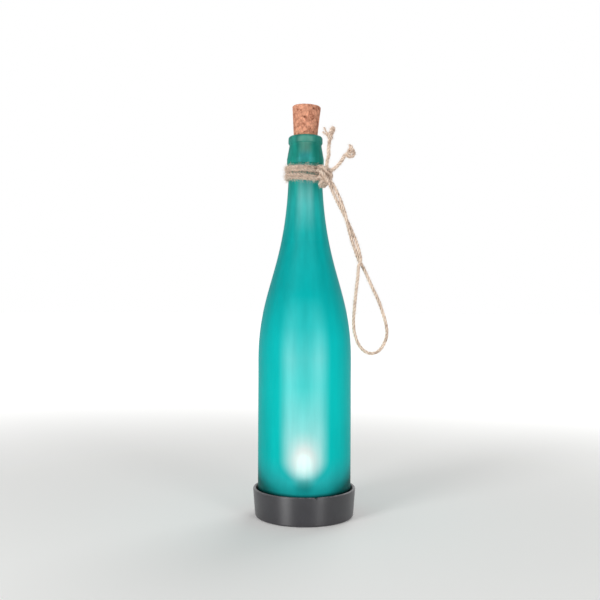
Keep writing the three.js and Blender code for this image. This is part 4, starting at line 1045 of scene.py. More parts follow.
def as_mesh(form):
    """A mesh with the faces of a form, which is used up."""
    mesh = bpy.data.meshes.new("form")
    form.to_mesh(mesh)
    form.free()
    return mesh


def arc(centre, radius, start, end, steps, rise=1.0):
    """Points of a round stretch of an outline between two angles in degrees, made taller by a rise."""
    angles = [math.radians(start + (end - start) * step / steps) for step in range(steps + 1)]
    return [(centre[0] + radius * math.cos(a), centre[1] + radius * math.sin(a) * rise) for a in angles]


def bend(start, start_pull, end_pull, end):
    """Points of a smooth curve between two points of an outline."""
    points = [Vector((*point, 0)) for point in (start, start_pull, end_pull, end)]
    return [tuple(point.xy) for point in geometry.interpolate_bezier(*points, CURVE_POINTS)]


def finer(outline, step):
    """The outline with extra points, so that none are further apart than the step."""
    points = [outline[0]]
    for start, end in zip(outline, outline[1:]):
        count = max(1, math.ceil(math.dist(start, end) / step))
        points += [(start[0] + (end[0] - start[0]) * i / count, start[1] + (end[1] - start[1]) * i / count)
                   for i in range(1, count + 1)]
    return points


def turned(outline, sides=ROUND_SIDES, ring=False):
    """A closed form turned round +Z from an outline that runs up its outer side."""
    form = bmesh.new()
    angles = [2 * math.pi * side / sides for side in range(sides)]
    circle = [(math.cos(angle), math.sin(angle)) for angle in angles]
    rows = []
    for radius, height in outline:
        around = circle if radius > 0 else [(0, 0)]
        rows.append([form.verts.new((radius * x, radius * y, height)) for x, y in around])
    pairs = list(zip(rows, rows[1:]))
    if ring:
        pairs.append((rows[-1], rows[0]))
    for low, high in pairs:
        for side in range(sides):
            after = (side + 1) % sides
            corners = ((low, side), (low, after), (high, after), (high, side))
            form.faces.new(dict.fromkeys(row[place % len(row)] for row, place in corners))
    return as_mesh(form)


def block(size_x, size_y, low, high, x=0.0):
    """A block by its size in plan, its heights and the x of its middle."""
    form = bmesh.new()
    place = Matrix.Translation((x, 0, (low + high) / 2)) @ Matrix.Diagonal((size_x, size_y, high - low, 1))
    bmesh.ops.create_cube(form, size=1, matrix=place)
    return as_mesh(form)


def bars(places, radius, low, high):
    """Upright round bars at places in plan."""
    meshes = []
    for x, y in places:
        mesh = turned([(0, low), (radius, low), (radius, high), (0, high)], SMALL_SIDES)
        mesh.transform(Matrix.Translation((x, y, 0)))
        meshes.append(mesh)
    return meshes


def evaluated(holder):
    """The mesh that an object's modifiers make, as a plain mesh. The object is used up."""
    graph = bpy.context.evaluated_depsgraph_get()
    mesh = bpy.data.meshes.new_from_object(
        holder.evaluated_get(graph), preserve_all_data_layers=True, depsgraph=graph,
    )
    holder.modifiers.clear()
    bpy.data.objects.remove(holder)
    return mesh


def shaped(mesh, joins, cuts):
    """A mesh with others joined to it and then others cut from it."""
    for operation, tools in (("UNION", joins), ("DIFFERENCE", cuts)):
        for tool in tools:
            holder = added("held", mesh)
            modifier = holder.modifiers.new("shape", "BOOLEAN")
            modifier.solver = "MANIFOLD"
            modifier.operation = operation
            modifier.object = cutter = added("tool", tool)
            mesh = evaluated(holder)
            bpy.data.objects.remove(cutter)
    return mesh


def smoothed(mesh):
    """A mesh shaded smooth, with its sharp edges kept."""
    mesh.polygons.foreach_set("use_smooth", [True] * len(mesh.polygons))
    mesh.set_sharp_from_angle(angle=SHARP_ANGLE)
    return mesh


def eased(mesh, edge):
    """A smooth mesh with doubled corners joined and sharp edges rounded off over a width, if any."""
    form = bmesh.new()
    form.from_mesh(mesh)
    bmesh.ops.remove_doubles(form, verts=form.verts, dist=WELD_DISTANCE)
    if edge:
        bmesh.ops.dissolve_limit(form, angle_limit=FLAT_ANGLE, verts=form.verts, edges=form.edges)
    form.to_mesh(mesh)
    form.free()
    if edge:
        holder = added("held", mesh)
        modifier = holder.modifiers.new("ease", "BEVEL")
        modifier.width = edge
        modifier.segments = EASE_SEGMENTS
        modifier.limit_method = "ANGLE"
        modifier.angle_limit = SHARP_ANGLE
        modifier.harden_normals = True
        mesh = evaluated(holder)
    return smoothed(mesh)


def node_copy(node):
    """A copy of a solid of the frame, without its material."""
    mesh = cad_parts[node].data.copy()
    mesh.materials.clear()
    return mesh


def add_piece(name, mesh, body, slot, nodes=()):
    """A finished piece that rides on a body and stands for nodes of the frame."""
    mesh.name = name
    if not any(mesh.materials):
        mesh.materials.clear()
        mesh.materials.append(material(slot))
    piece = added(name, mesh)
    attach(piece, body)
    if nodes:
        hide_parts(*nodes)
    return piece


# Routes

def even_steps(points, count):
    """A count of steps of even length along points."""
    lengths = [0.0]
    for start, end in zip(points, points[1:]):
        lengths.append(lengths[-1] + (end - start).length)
    spaced = []
    index = 0
    for step in range(count + 1):
        target = lengths[-1] * step / count
        while index < len(points) - 2 and lengths[index + 1] < target:
            index += 1
        share = (target - lengths[index]) / (lengths[index + 1] - lengths[index])
        spaced.append(points[index].lerp(points[index + 1], share))
    return spaced


def route_length(points):
    """Length along points."""
    return sum((end - start).length for start, end in zip(points, points[1:]))


def smooth_curve(points):
    """Close points of a centripetal curve through points."""
    points = [Vector(point) for point in points]
    points = [2 * points[0] - points[1], *points, 2 * points[-1] - points[-2]]
    curve = []
    for before, start, end, after in zip(points, points[1:], points[2:], points[3:]):
        spans = ((before, start), (start, end), (end, after))
        first, second, third = (math.sqrt((far - near).length) for near, far in spans)
        leave = (start - before) / first - (end - before) / (first + second) + (end - start) / second
        reach = (end - start) / second - (after - start) / (second + third) + (after - end) / third
        handles = (start + leave * second / 3, end - reach * second / 3)
        curve += geometry.interpolate_bezier(start, *handles, end, ROUTE_STEPS)[:-1]
    return [*curve, points[-2]]


def smooth_route(points):
    """Even steps along a smooth curve through points."""
    curve = smooth_curve(points)
    return even_steps(curve, math.ceil(route_length(curve) / TWINE_STEP))


def moved(points, origin):
    """Points given from an origin."""
    return [origin + Vector(point) for point in points]


def pair_strand(phase):
    """One strand of the twisted pair, turning round the middle of the pair."""
    middle = smooth_curve(moved(PAIR_ROUTE, LOOP_EXIT))
    points = even_steps(middle, PAIR_STEPS)
    fine = even_steps(middle, PAIR_STEPS * ROUTE_STEPS)
    normal = Vector((-1, 0, 0))
    strand = []
    for index, place in enumerate(fine[:-1]):
        tangent = (fine[index + 1] - place).normalized()
        normal = (normal - normal.dot(tangent) * tangent).normalized()
        if index % ROUTE_STEPS == 0:
            strand.append((tangent, normal.copy()))
    strand.append((tangent, normal))
    places = []
    for step, (tangent, normal) in enumerate(strand):
        turn = PAIR_TWIST[0] + (PAIR_TWIST[1] - PAIR_TWIST[0]) * step / PAIR_STEPS + phase
        side = normal * math.cos(turn) + tangent.cross(normal) * math.sin(turn)
        places.append(points[step] + PAIR_RADIUS * side)
    return places


def loop_route():
    """The hanging loop: down one strand of the pair, round the open loop and up the other strand."""
    return smooth_route([*pair_strand(0), *moved(LOOP_ROUTE, LOOP_EXIT), *reversed(pair_strand(math.pi))])


def smoothstep(share):
    """An even share eased at both ends."""
    share = min(max(share, 0.0), 1.0)
    return share * share * (3 - 2 * share)


def wrap_drop(turns):
    """How far the two lowest turns drop towards the knot, after some turns."""
    near = [1 - abs(turns + WRAP_DROP_SHARE - lap) / WRAP_DROP_REACH for lap in (0, 1)]
    return WRAP_DROP * sum(smoothstep(share) for share in near)


def wrap_route():
    """The winding round the neck: out of the knot's side, round and up, and over the strands to its back."""
    places = []
    for step in range(WRAP_END_STEPS):
        left = 1 - step / WRAP_END_STEPS
        z = WRAP_BOTTOM + WRAP_PAIRING - wrap_drop(-WRAP_DROP_SHARE * left)
        places.append((WRAP_START_X * left, -WRAP_RADIUS, z))
    climb_steps = round(WRAP_TURNS * WRAP_STEPS)
    crossing_steps = WRAP_STEPS // 4
    for step in range(climb_steps + crossing_steps + 1):
        angle = -math.pi / 2 - 2 * math.pi * step / WRAP_STEPS
        climbed = min(step / climb_steps, 1)
        crossed = max((step - climb_steps) / crossing_steps, 0)
        radius = WRAP_RADIUS + WRAP_PITCH * smoothstep(crossed * 2)
        climb = WRAP_BOTTOM + (WRAP_TOP - WRAP_BOTTOM) * climbed
        climb += WRAP_PAIRING * math.cos(math.pi * WRAP_TURNS * climbed)
        wander = WRAP_WANDER * math.sin(WRAP_WAVES * WRAP_TURNS * 2 * math.pi * climbed)
        climb += wander - wrap_drop(step / WRAP_STEPS)
        z = climb + (WRAP_END_HEIGHT - climb) * smoothstep(crossed * 2 - 1)
        places.append((radius * math.cos(angle), radius * math.sin(angle), z))
    for step in range(1, WRAP_END_STEPS + 1):
        places.append((WRAP_RADIUS + WRAP_PITCH, WRAP_END_Y * step / WRAP_END_STEPS, WRAP_END_HEIGHT))
    return smooth_route(places)


# Geometry nodes

def build_twine(nodes, given):
    """Yarns laid up round a path, each with ridges of fibre."""
    diameter = given["Diameter"]
    path = nodes.put("GeometryNodeMeshToCurve", {0: given["Geometry"]})
    copies = {"Geometry": path, "Amount": given["Plies"]}
    yarns, yarn = nodes.put("GeometryNodeDuplicateElements", copies, (0, "Duplicate Index"), domain="SPLINE")
    along = nodes.put("GeometryNodeSplineParameter", output="Length")
    angle = (along * given["Lay"] + yarn / given["Plies"]) * (2 * math.pi)
    normal = nodes.put("GeometryNodeInputNormal")
    binormal = nodes.vector("CROSS_PRODUCT", nodes.put("GeometryNodeInputTangent"), normal)
    across = normal.scaled(nodes.maths("COSINE", angle))
    side = nodes.vector("ADD", across, binormal.scaled(nodes.maths("SINE", angle)))
    place = nodes.put("GeometryNodeInputPosition")
    cored = nodes.stored(yarns, "core", place, "FLOAT_VECTOR")
    laid = nodes.pushed(cored, side.scaled(diameter * YARN_OFFSET))
    marked = nodes.stored(laid, "along", along + yarn)
    outline = {"Resolution": YARN_SIDES, "Radius": diameter * YARN_RADIUS}
    circle = nodes.put("GeometryNodeCurvePrimitiveCircle", outline)
    section = nodes.stored(circle, "section", nodes.vector("NORMALIZE", place), "FLOAT_VECTOR")
    ridge = nodes.maths("MODULO", nodes.put("GeometryNodeInputIndex"), 2.0)
    inward = place.scaled(1.0 - ridge * RIDGE_DEPTH)
    ridged = nodes.put("GeometryNodeSetPosition", {"Geometry": section, "Position": inward})
    tube = nodes.put("GeometryNodeCurveToMesh", {"Curve": marked, "Profile Curve": ridged, "Fill Caps": True})
    swell = nodes.put("ShaderNodeTexNoise", {"Scale": SWELL_FINENESS, "Detail": 2.0}) - 0.5
    uneven = nodes.pushed(tube, normal.scaled(swell * (diameter * given["Unevenness"])))
    core = nodes.put("GeometryNodeInputNamedAttribute", {"Name": "core"}, data_type="FLOAT_VECTOR")
    out = nodes.vector("DISTANCE", place, core, output="Value")
    deep = nodes.stored(uneven, "outness", out / diameter)
    # The painted lighting of the piece, kept for its material.
    return nodes.stored(deep, "paleness", given["Paleness"])


def build_fibres(nodes, given):
    """Loose curved fibres that stand out of a surface."""
    seed = given["Seed"]
    surface = {"Mesh": given["Geometry"], "Density": given["Density"], "Seed": seed}
    kind = "GeometryNodeDistributePointsOnFaces"
    roots, facing = nodes.put(kind, surface, ("Points", "Rotation"), distribute_method="RANDOM")
    curve = {"Resolution": FIBRE_STEPS, "Start": (0, 0, 0)}
    for label, place in FIBRE_BEND.items():
        parts = {axis: given["Length"] * part for axis, part in enumerate(place)}
        curve[label] = nodes.put("ShaderNodeCombineXYZ", parts)
    fibre = nodes.put("GeometryNodeCurveQuadraticBezier", curve)
    outline = {"Resolution": FIBRE_SIDES, "Radius": given["Thickness"]}
    profile = nodes.put("GeometryNodeCurvePrimitiveCircle", outline)
    taper = nodes.put("GeometryNodeSplineParameter", output="Factor").spread(0.0, 1.0, 1.0, FIBRE_TIP)
    sweep = {"Curve": fibre, "Profile Curve": profile, "Scale": taper, "Fill Caps": True}
    hair = nodes.put("GeometryNodeCurveToMesh", sweep)
    swings = {**dict(enumerate(FIBRE_SWING)), "Seed": seed}
    swing = nodes.put("FunctionNodeRandomValue", swings, data_type="FLOAT_VECTOR")
    turn = {"Rotation": facing, "Rotate By": swing}
    way = nodes.put("FunctionNodeRotateRotation", turn, rotation_space="LOCAL")
    sizes = {2: SHORTEST_FIBRE, 3: 1.0, "Seed": seed}
    size = nodes.put("FunctionNodeRandomValue", sizes, 1, data_type="FLOAT")
    grown_hair = {"Points": roots, "Instance": hair, "Rotation": way, "Scale": size}
    return nodes.put("GeometryNodeInstanceOnPoints", grown_hair)


def build_cork(nodes, given):
    """Grooves between pressed grains, and pits."""
    edge, _, pit = cork_cells(nodes, nodes.put("GeometryNodeInputPosition"))
    depth = edge.spread(0.0, 0.14, 1.0, 0.0) * given["Groove"] + pit * given["Pit"]
    return nodes.pushed(given["Geometry"], nodes.put("GeometryNodeInputNormal").scaled(depth * -1.0))


def build_screws(nodes, given):
    """Copies of a screw at given points."""
    screw = nodes.put("GeometryNodeObjectInfo", {"Object": given["Screw"]}, "Geometry")
    return nodes.put("GeometryNodeInstanceOnPoints", {"Points": given["Geometry"], "Instance": screw})


SHAPE_TREES = {
    "Twisted twine": (build_twine, {
        "Diameter": "Float", "Plies": "Int", "Lay": "Float", "Unevenness": "Float", "Paleness": "Float",
    }),
    "Loose fibres": (build_fibres, {
        "Density": "Float", "Length": "Float", "Thickness": "Float", "Seed": "Int",
    }),
    "Cork grain": (build_cork, {"Groove": "Float", "Pit": "Float"}),
    "Screws": (build_screws, {"Screw": "Object"}),
}


def shape_tree(name):
    """The geometry node tree of that name, built the first time; it ends in plain, painted geometry."""
    if name not in bpy.data.node_groups:
        build, sizes = SHAPE_TREES[name]
        shape = {"Geometry": "Geometry"}
        nodes, given = opened(name, "GeometryNodeTree", {**shape, **sizes, "Material": "Material"}, shape)
        plain = nodes.put("GeometryNodeRealizeInstances", {0: build(nodes, given)})
        smooth = nodes.put("GeometryNodeSetShadeSmooth", {"Geometry": plain})
        painted = nodes.put("GeometryNodeSetMaterial", {"Geometry": smooth, "Material": given["Material"]})
        nodes.node("NodeGroupOutput", {"Geometry": painted})
    return bpy.data.node_groups[name]


def grown(mesh, name, slot, values):
    """The plain mesh that a node tree makes from a mesh, in the material of a slot."""
    values["Material"] = material(slot)
    holder = added("held", mesh)
    modifier = holder.modifiers.new(name, "NODES")
    modifier.node_group = shape_tree(name)
    for item in modifier.node_group.interface.items_tree:
        if item.in_out == "INPUT" and item.name in values:
            modifier[item.identifier] = values[item.name]
    return evaluated(holder)


def path_mesh(routes):
    """Paths as a mesh of edges."""
    mesh = bpy.data.meshes.new("paths")
    places = []
    edges = []
    for route in routes:
        edges += [(index, index + 1) for index in range(len(places), len(places) + len(route) - 1)]
        places += [tuple(place) for place in route]
    mesh.from_pydata(places, edges, [])
    return mesh


def add_twine(name, routes, diameter, body, nodes, seed, fuzz=1.0, shaggy=1.0, paleness=FREE_PAINTED_LIGHTING):
    """Twine along routes, with its loose fibres as a second piece."""
    twine = look().twine
    rope = grown(path_mesh(routes), "Twisted twine", "jute_twine", {
        "Diameter": diameter, "Plies": twine.plies, "Lay": twine.lay, "Unevenness": twine.unevenness,
        "Paleness": paleness,
    })
    hairs = grown(rope.copy(), "Loose fibres", "jute_fibres", {
        "Density": fuzz * twine.hairs / MM ** 2, "Length": shaggy * twine.hair_length,
        "Thickness": shaggy * twine.hair_radius, "Seed": seed,
    })
    piece = add_piece(name, rope, body, "jute_twine", nodes)
    fibres = add_piece(f"{name}_fibres", hairs, body, "jute_twine")
    return piece, fibres


# Operators

class LAMP_OT_stage(bpy.types.Operator):
    """Set up the camera, the pale floor and the studio light"""

    bl_idname = "lamp.stage"
    bl_label = "Stage"

    def execute(self, context):
        self.add_camera(context.scene)
        self.add_floor()
        for light in STUDIO_LIGHTS:
            self.add_light(*light)
        self.add_world(context.scene)
        context.scene.view_settings.view_transform = "Standard"
        return {"FINISHED"}

    def add_floor(self):
        """A wide disc under the lamp."""
        outline = [(0, -FLOOR_DEPTH), (FLOOR_RADIUS, -FLOOR_DEPTH), (FLOOR_RADIUS, 0), (0, 0)]
        mesh = turned(outline, SMALL_SIDES)
        mesh.materials.append(material("floor"))
        added("floor", mesh)

    def add_camera(self, scene):
        """A camera that looks level at the lamp."""
        data = bpy.data.cameras.new("camera")
        data.lens = CAMERA_LENS
        data.sensor_width = SENSOR_WIDTH
        data.clip_start = CLIP_START
        camera = added("camera", data)
        camera.location = CAMERA_PLACE
        camera.rotation_euler = (math.pi / 2, CAMERA_ROLL, 0)
        scene.camera = camera

    def add_light(self, name, power, place, width, length):
        """A soft light that faces the lamp."""
        data = bpy.data.lights.new(name, "AREA")
        data.shape = "RECTANGLE"
        data.size = width
        data.size_y = length
        data.energy = getattr(look().stage, power)
        lamp = added(name, data)
        lamp.location = place
        lamp.rotation_euler = (LIGHT_TARGET - Vector(place)).to_track_quat("-Z", "Y").to_euler()

    def add_world(self, scene):
        """Even light from all round, and white where it is seen."""
        scene.world = bpy.data.worlds.new("studio")
        scene.world.use_nodes = True
        nodes = Nodes(scene.world.node_tree)
        nodes.tree.nodes.clear()
        strength = nodes.shown_rays().spread(0.0, 1.0, look().stage.ambient, 1.0)
        light = nodes.put("ShaderNodeBackground", {"Color": (1, 1, 1), "Strength": strength})
        nodes.node("ShaderNodeOutputWorld", {"Surface": light})


class LAMP_OT_hanging_loop(bpy.types.Operator):
    """Make the hanging loop of twisted twine"""

    bl_idname = "lamp.hanging_loop"
    bl_label = "Hanging loop"

    def execute(self, context):
        route = loop_route()
        nodes = ["twine_hanging_loop"]
        loop, fibres = add_twine("loop_twine", [route], LOOP_FULLNESS, "hanging_loop", nodes, seed=11)
        route_length(route)
        return {"FINISHED"}


class LAMP_OT_tails(bpy.types.Operator):
    """Make the two tails of twine with the knots on their ends"""

    bl_idname = "lamp.tails"
    bl_label = "Tails"

    def execute(self, context):
        self.add_tail("tail_up", TAIL_UP_START, TAIL_UP_ROOT, TAIL_UP_ROUTE, TAIL_UP_KNOT, TAIL_UP_ENDS, 21)
        self.add_tail(
            "tail_side", TAIL_SIDE_START, TAIL_SIDE_ROOT, TAIL_SIDE_ROUTE, TAIL_SIDE_KNOT, TAIL_SIDE_ENDS, 31,
        )
        return {"FINISHED"}

    def add_tail(self, name, start, root, points, tied, ends, seed):
        """One tail with its knot and its frayed ends."""
        route = smooth_route(moved([*root, *points], start))
        knot_route = smooth_route(moved(tied, route[-1]))
        end_routes = [smooth_route(moved(end, route[-1])) for end in ends]
        tail, fibres = add_twine(f"{name}_twine", [route], TAIL_FULLNESS, "bottle", [f"twine_{name}"], seed)
        knot = add_twine(
            f"{name}_end_knot", [knot_route], END_KNOT_DIAMETER, "bottle", [f"{name}_knot"], seed + 1,
            fuzz=1.6,
        )
        frayed = add_twine(
            f"{name}_frayed_ends", end_routes, FRAYED_DIAMETER, "bottle", [], seed + 2, fuzz=2.5,
        )
        moved(points, start)[0]
        route_length(route)


class LAMP_OT_neck_wrap(bpy.types.Operator):
    """Make the winding of twine round the neck"""

    bl_idname = "lamp.neck_wrap"
    bl_label = "Neck wrap"

    def execute(self, context):
        add_twine(
            "neck_wrap_twine", [wrap_route()], WRAP_DIAMETER, "bottle", ["twine_neck_wrap"], seed=41,
            fuzz=1.1, shaggy=1.6, paleness=WRAP_PAINTED_LIGHTING,
        )
        return {"FINISHED"}


class LAMP_OT_neck_knot(bpy.types.Operator):
    """Make the knot where the winding, the loop and the tails are tied"""

    bl_idname = "lamp.neck_knot"
    bl_label = "Neck knot"

    def execute(self, context):
        routes = [smooth_route(moved(strand, KNOT_MIDDLE)) for strand in KNOT_STRANDS]
        nodes = ["twine_knot"]
        add_twine("neck_knot_twine", routes, KNOT_DIAMETER, "bottle", nodes, seed=51, paleness=KNOT_PAINTED_LIGHTING)
        return {"FINISHED"}


class LAMP_OT_bottle(bpy.types.Operator):
    """Make the frosted glass bottle with both its walls"""

    bl_idname = "lamp.bottle"
    bl_label = "Bottle"

    def execute(self, context):
        collar_rise = COLLAR_RADIUS - NECK_RADIUS
        lip_rise = LIP_RADIUS - THROAT_RADIUS
        edge = BOTTLE_EDGE_ROUND
        side = [(BODY_RADIUS, BOTTLE_BOTTOM + 2 * edge), (BODY_RADIUS, SHOULDER_START - 2 * edge)]
        outline = [
            *arc((BODY_INNER_RADIUS + edge, BOTTLE_BOTTOM + edge), edge, -180, -90, 4),
            *arc((BODY_RADIUS - edge, BOTTLE_BOTTOM + edge), edge, -90, 0, 6),
            *finer(side, BODY_STEP),
            *bend((BODY_RADIUS, SHOULDER_START), (BODY_RADIUS, SHOULDER_LOW_PULL),
                  (NECK_FOOT_RADIUS + SHOULDER_LEAN, SHOULDER_HIGH_PULL), (NECK_FOOT_RADIUS, NECK_FOOT)),
            (NECK_RADIUS, NECK_STRAIGHT),
            (NECK_RADIUS, COLLAR_BOTTOM),
            *arc((NECK_RADIUS, COLLAR_BOTTOM + collar_rise), collar_rise, -45, 0, 6),
            *arc((COLLAR_RADIUS - collar_rise, COLLAR_TOP), collar_rise, 0, 10, 3),
            (THROAT_RADIUS, THROAT_HEIGHT),
            *arc((THROAT_RADIUS, THROAT_HEIGHT + 2 * lip_rise), lip_rise, -60, 0, 6),
            *arc((LIP_RADIUS - LIP_ROUND, LIP_TOP - LIP_ROUND), LIP_ROUND, 0, 90, 12),
            *arc((NECK_BORE_RADIUS + MOUTH_ROUND, LIP_TOP - MOUTH_ROUND), MOUTH_ROUND, 90, 180, 6),
            *bend((NECK_BORE_RADIUS, NECK_FOOT), (NECK_BORE_RADIUS + SHOULDER_LEAN, SHOULDER_HIGH_PULL),
                  (BODY_INNER_RADIUS, SHOULDER_LOW_PULL), (BODY_INNER_RADIUS, SHOULDER_START)),
        ]
        add_piece("bottle_glass", smoothed(turned(outline, ring=True)), "bottle", "frosted_glass", ["bottle"])
        return {"FINISHED"}


class LAMP_OT_cork(bpy.types.Operator):
    """Make the cork with its grains and pits"""

    bl_idname = "lamp.cork"
    bl_label = "Cork"

    def execute(self, context):
        cork = look().cork
        outline = finer([
            (0, -CORK_DEPTH),
            (CORK_END_RADIUS - CORK_CHAMFER, -CORK_DEPTH),
            (CORK_END_RADIUS, CORK_CHAMFER - CORK_DEPTH),
            (CORK_TOP_RADIUS, CORK_STAND - CORK_CHAMFER),
            (CORK_TOP_RADIUS - CORK_CHAMFER, CORK_STAND),
            (0, CORK_STAND),
        ], CORK_STEP)
        mesh = turned(outline)
        mesh.transform(Matrix.Translation((0, 0, LIP_TOP)) @ Matrix.Rotation(CORK_LEAN, 4, "Y"))
        pitted = grown(mesh, "Cork grain", "cork", {"Groove": cork.groove, "Pit": cork.pit})
        add_piece("cork_grained", pitted, "cork", "cork", ["cork_stopper"])
        return {"FINISHED"}


class LAMP_OT_base_cup(bpy.types.Operator):
    """Make the moulded base cup with its pockets, bosses and holes, and a nick in its rim"""

    bl_idname = "lamp.base_cup"
    bl_label = "Base cup"

    def execute(self, context):
        joins = [
            block(2 * SHELF_HALF, 2 * SHELF_HALF, UNDERSIDE_RECESS, SHELF_TOP),
            *bars(SCREW_PLACES, SCREW_BOSS, UNDERSIDE_RECESS, SCREW_BOSS_TOP),
            *bars(BOARD_SCREW_PLACES, BOARD_BOSS, PANEL_POCKET_TOP, BOARD_BOSS_TOP),
        ]
        cuts = [
            block(2 * WINDOW_POCKET_HALF, 2 * WINDOW_POCKET_HALF, -OVERLAP, WINDOW_POCKET_TOP),
            block(2 * PANEL_POCKET_HALF, 2 * PANEL_POCKET_HALF, -OVERLAP, PANEL_POCKET_TOP),
            block(*KNOB_SLOT, -OVERLAP, FLOOR_TOP + OVERLAP, SWITCH_X),
            *bars(SCREW_PLACES, SCREW_HEAD_HOLE, -OVERLAP, SCREW_HEAD_SEAT),
            *bars(SCREW_PLACES, SCREW_HOLE, -OVERLAP, SCREW_BOSS_TOP + OVERLAP),
            *bars(BOARD_SCREW_PLACES, BOARD_HOLE, SHELF_TOP, BOARD_BOSS_TOP + OVERLAP),
            *bars(WIRE_HOLE_PLACES, WIRE_HOLE, PANEL_POCKET_TOP - OVERLAP, SHELF_TOP + OVERLAP),
        ]
        cup = eased(shaped(self.shell(), joins, cuts), CUP_EDGE)
        add_piece("base_cup_moulded", cup, "base", "charcoal_plastic", ["base_cup"])
        return {"FINISHED"}

    def shell(self):
        """The turned cup with the nick in its rim."""
        low, high = GROOVE_HEIGHTS
        mesh = turned([
            (0, UNDERSIDE_RECESS),
            (UNDERSIDE_RADIUS, UNDERSIDE_RECESS),
            (UNDERSIDE_RADIUS, 0),
            *arc((FOOT_RADIUS - FOOT_ROUND, FOOT_ROUND), FOOT_ROUND, -90, 0, 8),
            *arc((RIM_RADIUS - RIM_ROUND, CUP_HEIGHT - RIM_ROUND), RIM_ROUND, 0, 180, 16),
            (CHANNEL_RADIUS, CHANNEL_FLOOR),
            (SPIGOT_RADIUS, CHANNEL_FLOOR),
            (SPIGOT_RADIUS, low),
            (GROOVE_RADIUS, low),
            (GROOVE_RADIUS, high),
            (SPIGOT_RADIUS, high),
            (SPIGOT_RADIUS, SPIGOT_TOP - SPIGOT_CHAMFER),
            (SPIGOT_RADIUS - SPIGOT_CHAMFER, SPIGOT_TOP),
            (SPIGOT_BORE, SPIGOT_TOP),
            (SPIGOT_BORE, FLOOR_TOP),
            (0, FLOOR_TOP),
        ], 2 * ROUND_SIDES)
        for vertex in mesh.vertices:
            if vertex.co.z > CUP_HEIGHT - 2 * RIM_ROUND:
                across = (math.atan2(vertex.co.y, vertex.co.x) - NICK_BEARING) * RIM_RADIUS / NICK_HALF_WIDTH
                vertex.co.z -= NICK_DEPTH * (1 - smoothstep(abs(across)))
        return mesh


class LAMP_OT_seals(bpy.types.Operator):
    """Make the gasket under the bottle and the ring that grips it"""

    bl_idname = "lamp.seals"
    bl_label = "Seals"

    def execute(self, context):
        inner, outer = GASKET_RADII
        low, high = GASKET_HEIGHTS
        gasket = turned([(inner, low), (outer, low), (outer, high), (inner, high)], ring=True)
        add_piece("gasket_ring", eased(gasket, SOFT_EDGE), "base", "seal_rubber", ["bottle_gasket"])
        o_ring = turned(arc(O_RING_MIDDLE, O_RING_HALF, 0, 360, 16)[:-1], ring=True)
        add_piece("o_ring", smoothed(o_ring), "base", "seal_rubber", ["spigot_o_ring"])
        return {"FINISHED"}


class LAMP_OT_light_unit(bpy.types.Operator):
    """Make the tray cover, the socket, the light and the milky dome over it"""

    bl_idname = "lamp.light_unit"
    bl_label = "Light unit"

    def execute(self, context):
        add_piece("tray_plate", eased(self.tray(), CRISP_EDGE), "base", "white_plastic", ["tray_cover"])
        add_piece("socket_ring", eased(self.socket(), SOFT_EDGE), "base", "black_plastic", ["led_socket"])
        add_piece("emitter", smoothed(self.emitter()), "base", "led_resin", ["led_emitter"])
        add_piece("diffuser_dome", smoothed(self.diffuser()), "base", "milky_plastic", ["led_diffuser"])
        return {"FINISHED"}

    def tray(self):
        """The cover with its lip and its three pillars."""
        lip_in, lip_out = TRAY_LIP_RADII
        plate = turned([
            (TRAY_HOLE, TRAY_BOTTOM), (lip_in, TRAY_BOTTOM), (lip_in, TRAY_LIP_BOTTOM),
            (lip_out, TRAY_LIP_BOTTOM), (lip_out, TRAY_BOTTOM), (TRAY_RADIUS, TRAY_BOTTOM),
            (TRAY_RADIUS, TRAY_TOP - SPIGOT_CHAMFER), (TRAY_RADIUS - SPIGOT_CHAMFER, TRAY_TOP),
            (TRAY_HOLE, TRAY_TOP),
        ], ring=True)
        pillars = bars(SCREW_PLACES, PILLAR_RADIUS, PILLAR_BOTTOM, TRAY_BOTTOM + OVERLAP)
        holes = bars(SCREW_PLACES, SCREW_HOLE, PILLAR_BOTTOM - OVERLAP, PILLAR_HOLE_TOP)
        return shaped(plate, pillars, holes)

    def socket(self):
        """The dark ring that holds the light."""
        neck_bottom, flange, top = SOCKET_HEIGHTS
        return turned([
            (SOCKET_BORE, neck_bottom), (SOCKET_NECK_RADIUS, neck_bottom), (SOCKET_NECK_RADIUS, flange),
            (SOCKET_RADIUS, flange), (SOCKET_RADIUS, top), (SOCKET_RECESS[0], top), SOCKET_RECESS,
            (SOCKET_BORE, SOCKET_RECESS[1]),
        ], SMALL_SIDES, ring=True)

    def emitter(self):
        """The light with its two legs."""
        low, flange, top = LED_HEIGHTS
        body = turned([
            (0, low), (LED_FLANGE_RADIUS, low), (LED_FLANGE_RADIUS, flange), (LED_RADIUS, flange),
            *arc((0, top - LED_RADIUS), LED_RADIUS, 0, 90, 12)[:-1], (0, top),
        ], SMALL_SIDES)
        legs = [block(LED_LEG, LED_LEG, LED_LEG_BOTTOM, low + OVERLAP, side * LED_LEG_X) for side in (-1, 1)]
        return shaped(body, legs, [])

    def diffuser(self):
        """The hollow dome over the light."""
        middle = (0, DIFFUSER_TOP - DIFFUSER_DOME)
        inner = DIFFUSER_RADIUS - DIFFUSER_WALL
        inner_rise = (DIFFUSER_DOME - DIFFUSER_WALL) / inner
        outer_rise = DIFFUSER_DOME / DIFFUSER_RADIUS
        return turned([
            (0, DIFFUSER_TOP - DIFFUSER_WALL),
            *arc(middle, inner, 90, 0, 16, inner_rise)[1:],
            (inner, DIFFUSER_BOTTOM),
            (DIFFUSER_RADIUS, DIFFUSER_BOTTOM),
            *arc(middle, DIFFUSER_RADIUS, 0, 90, 20, outer_rise)[:-1],
            (0, DIFFUSER_TOP),
        ], SMALL_SIDES)


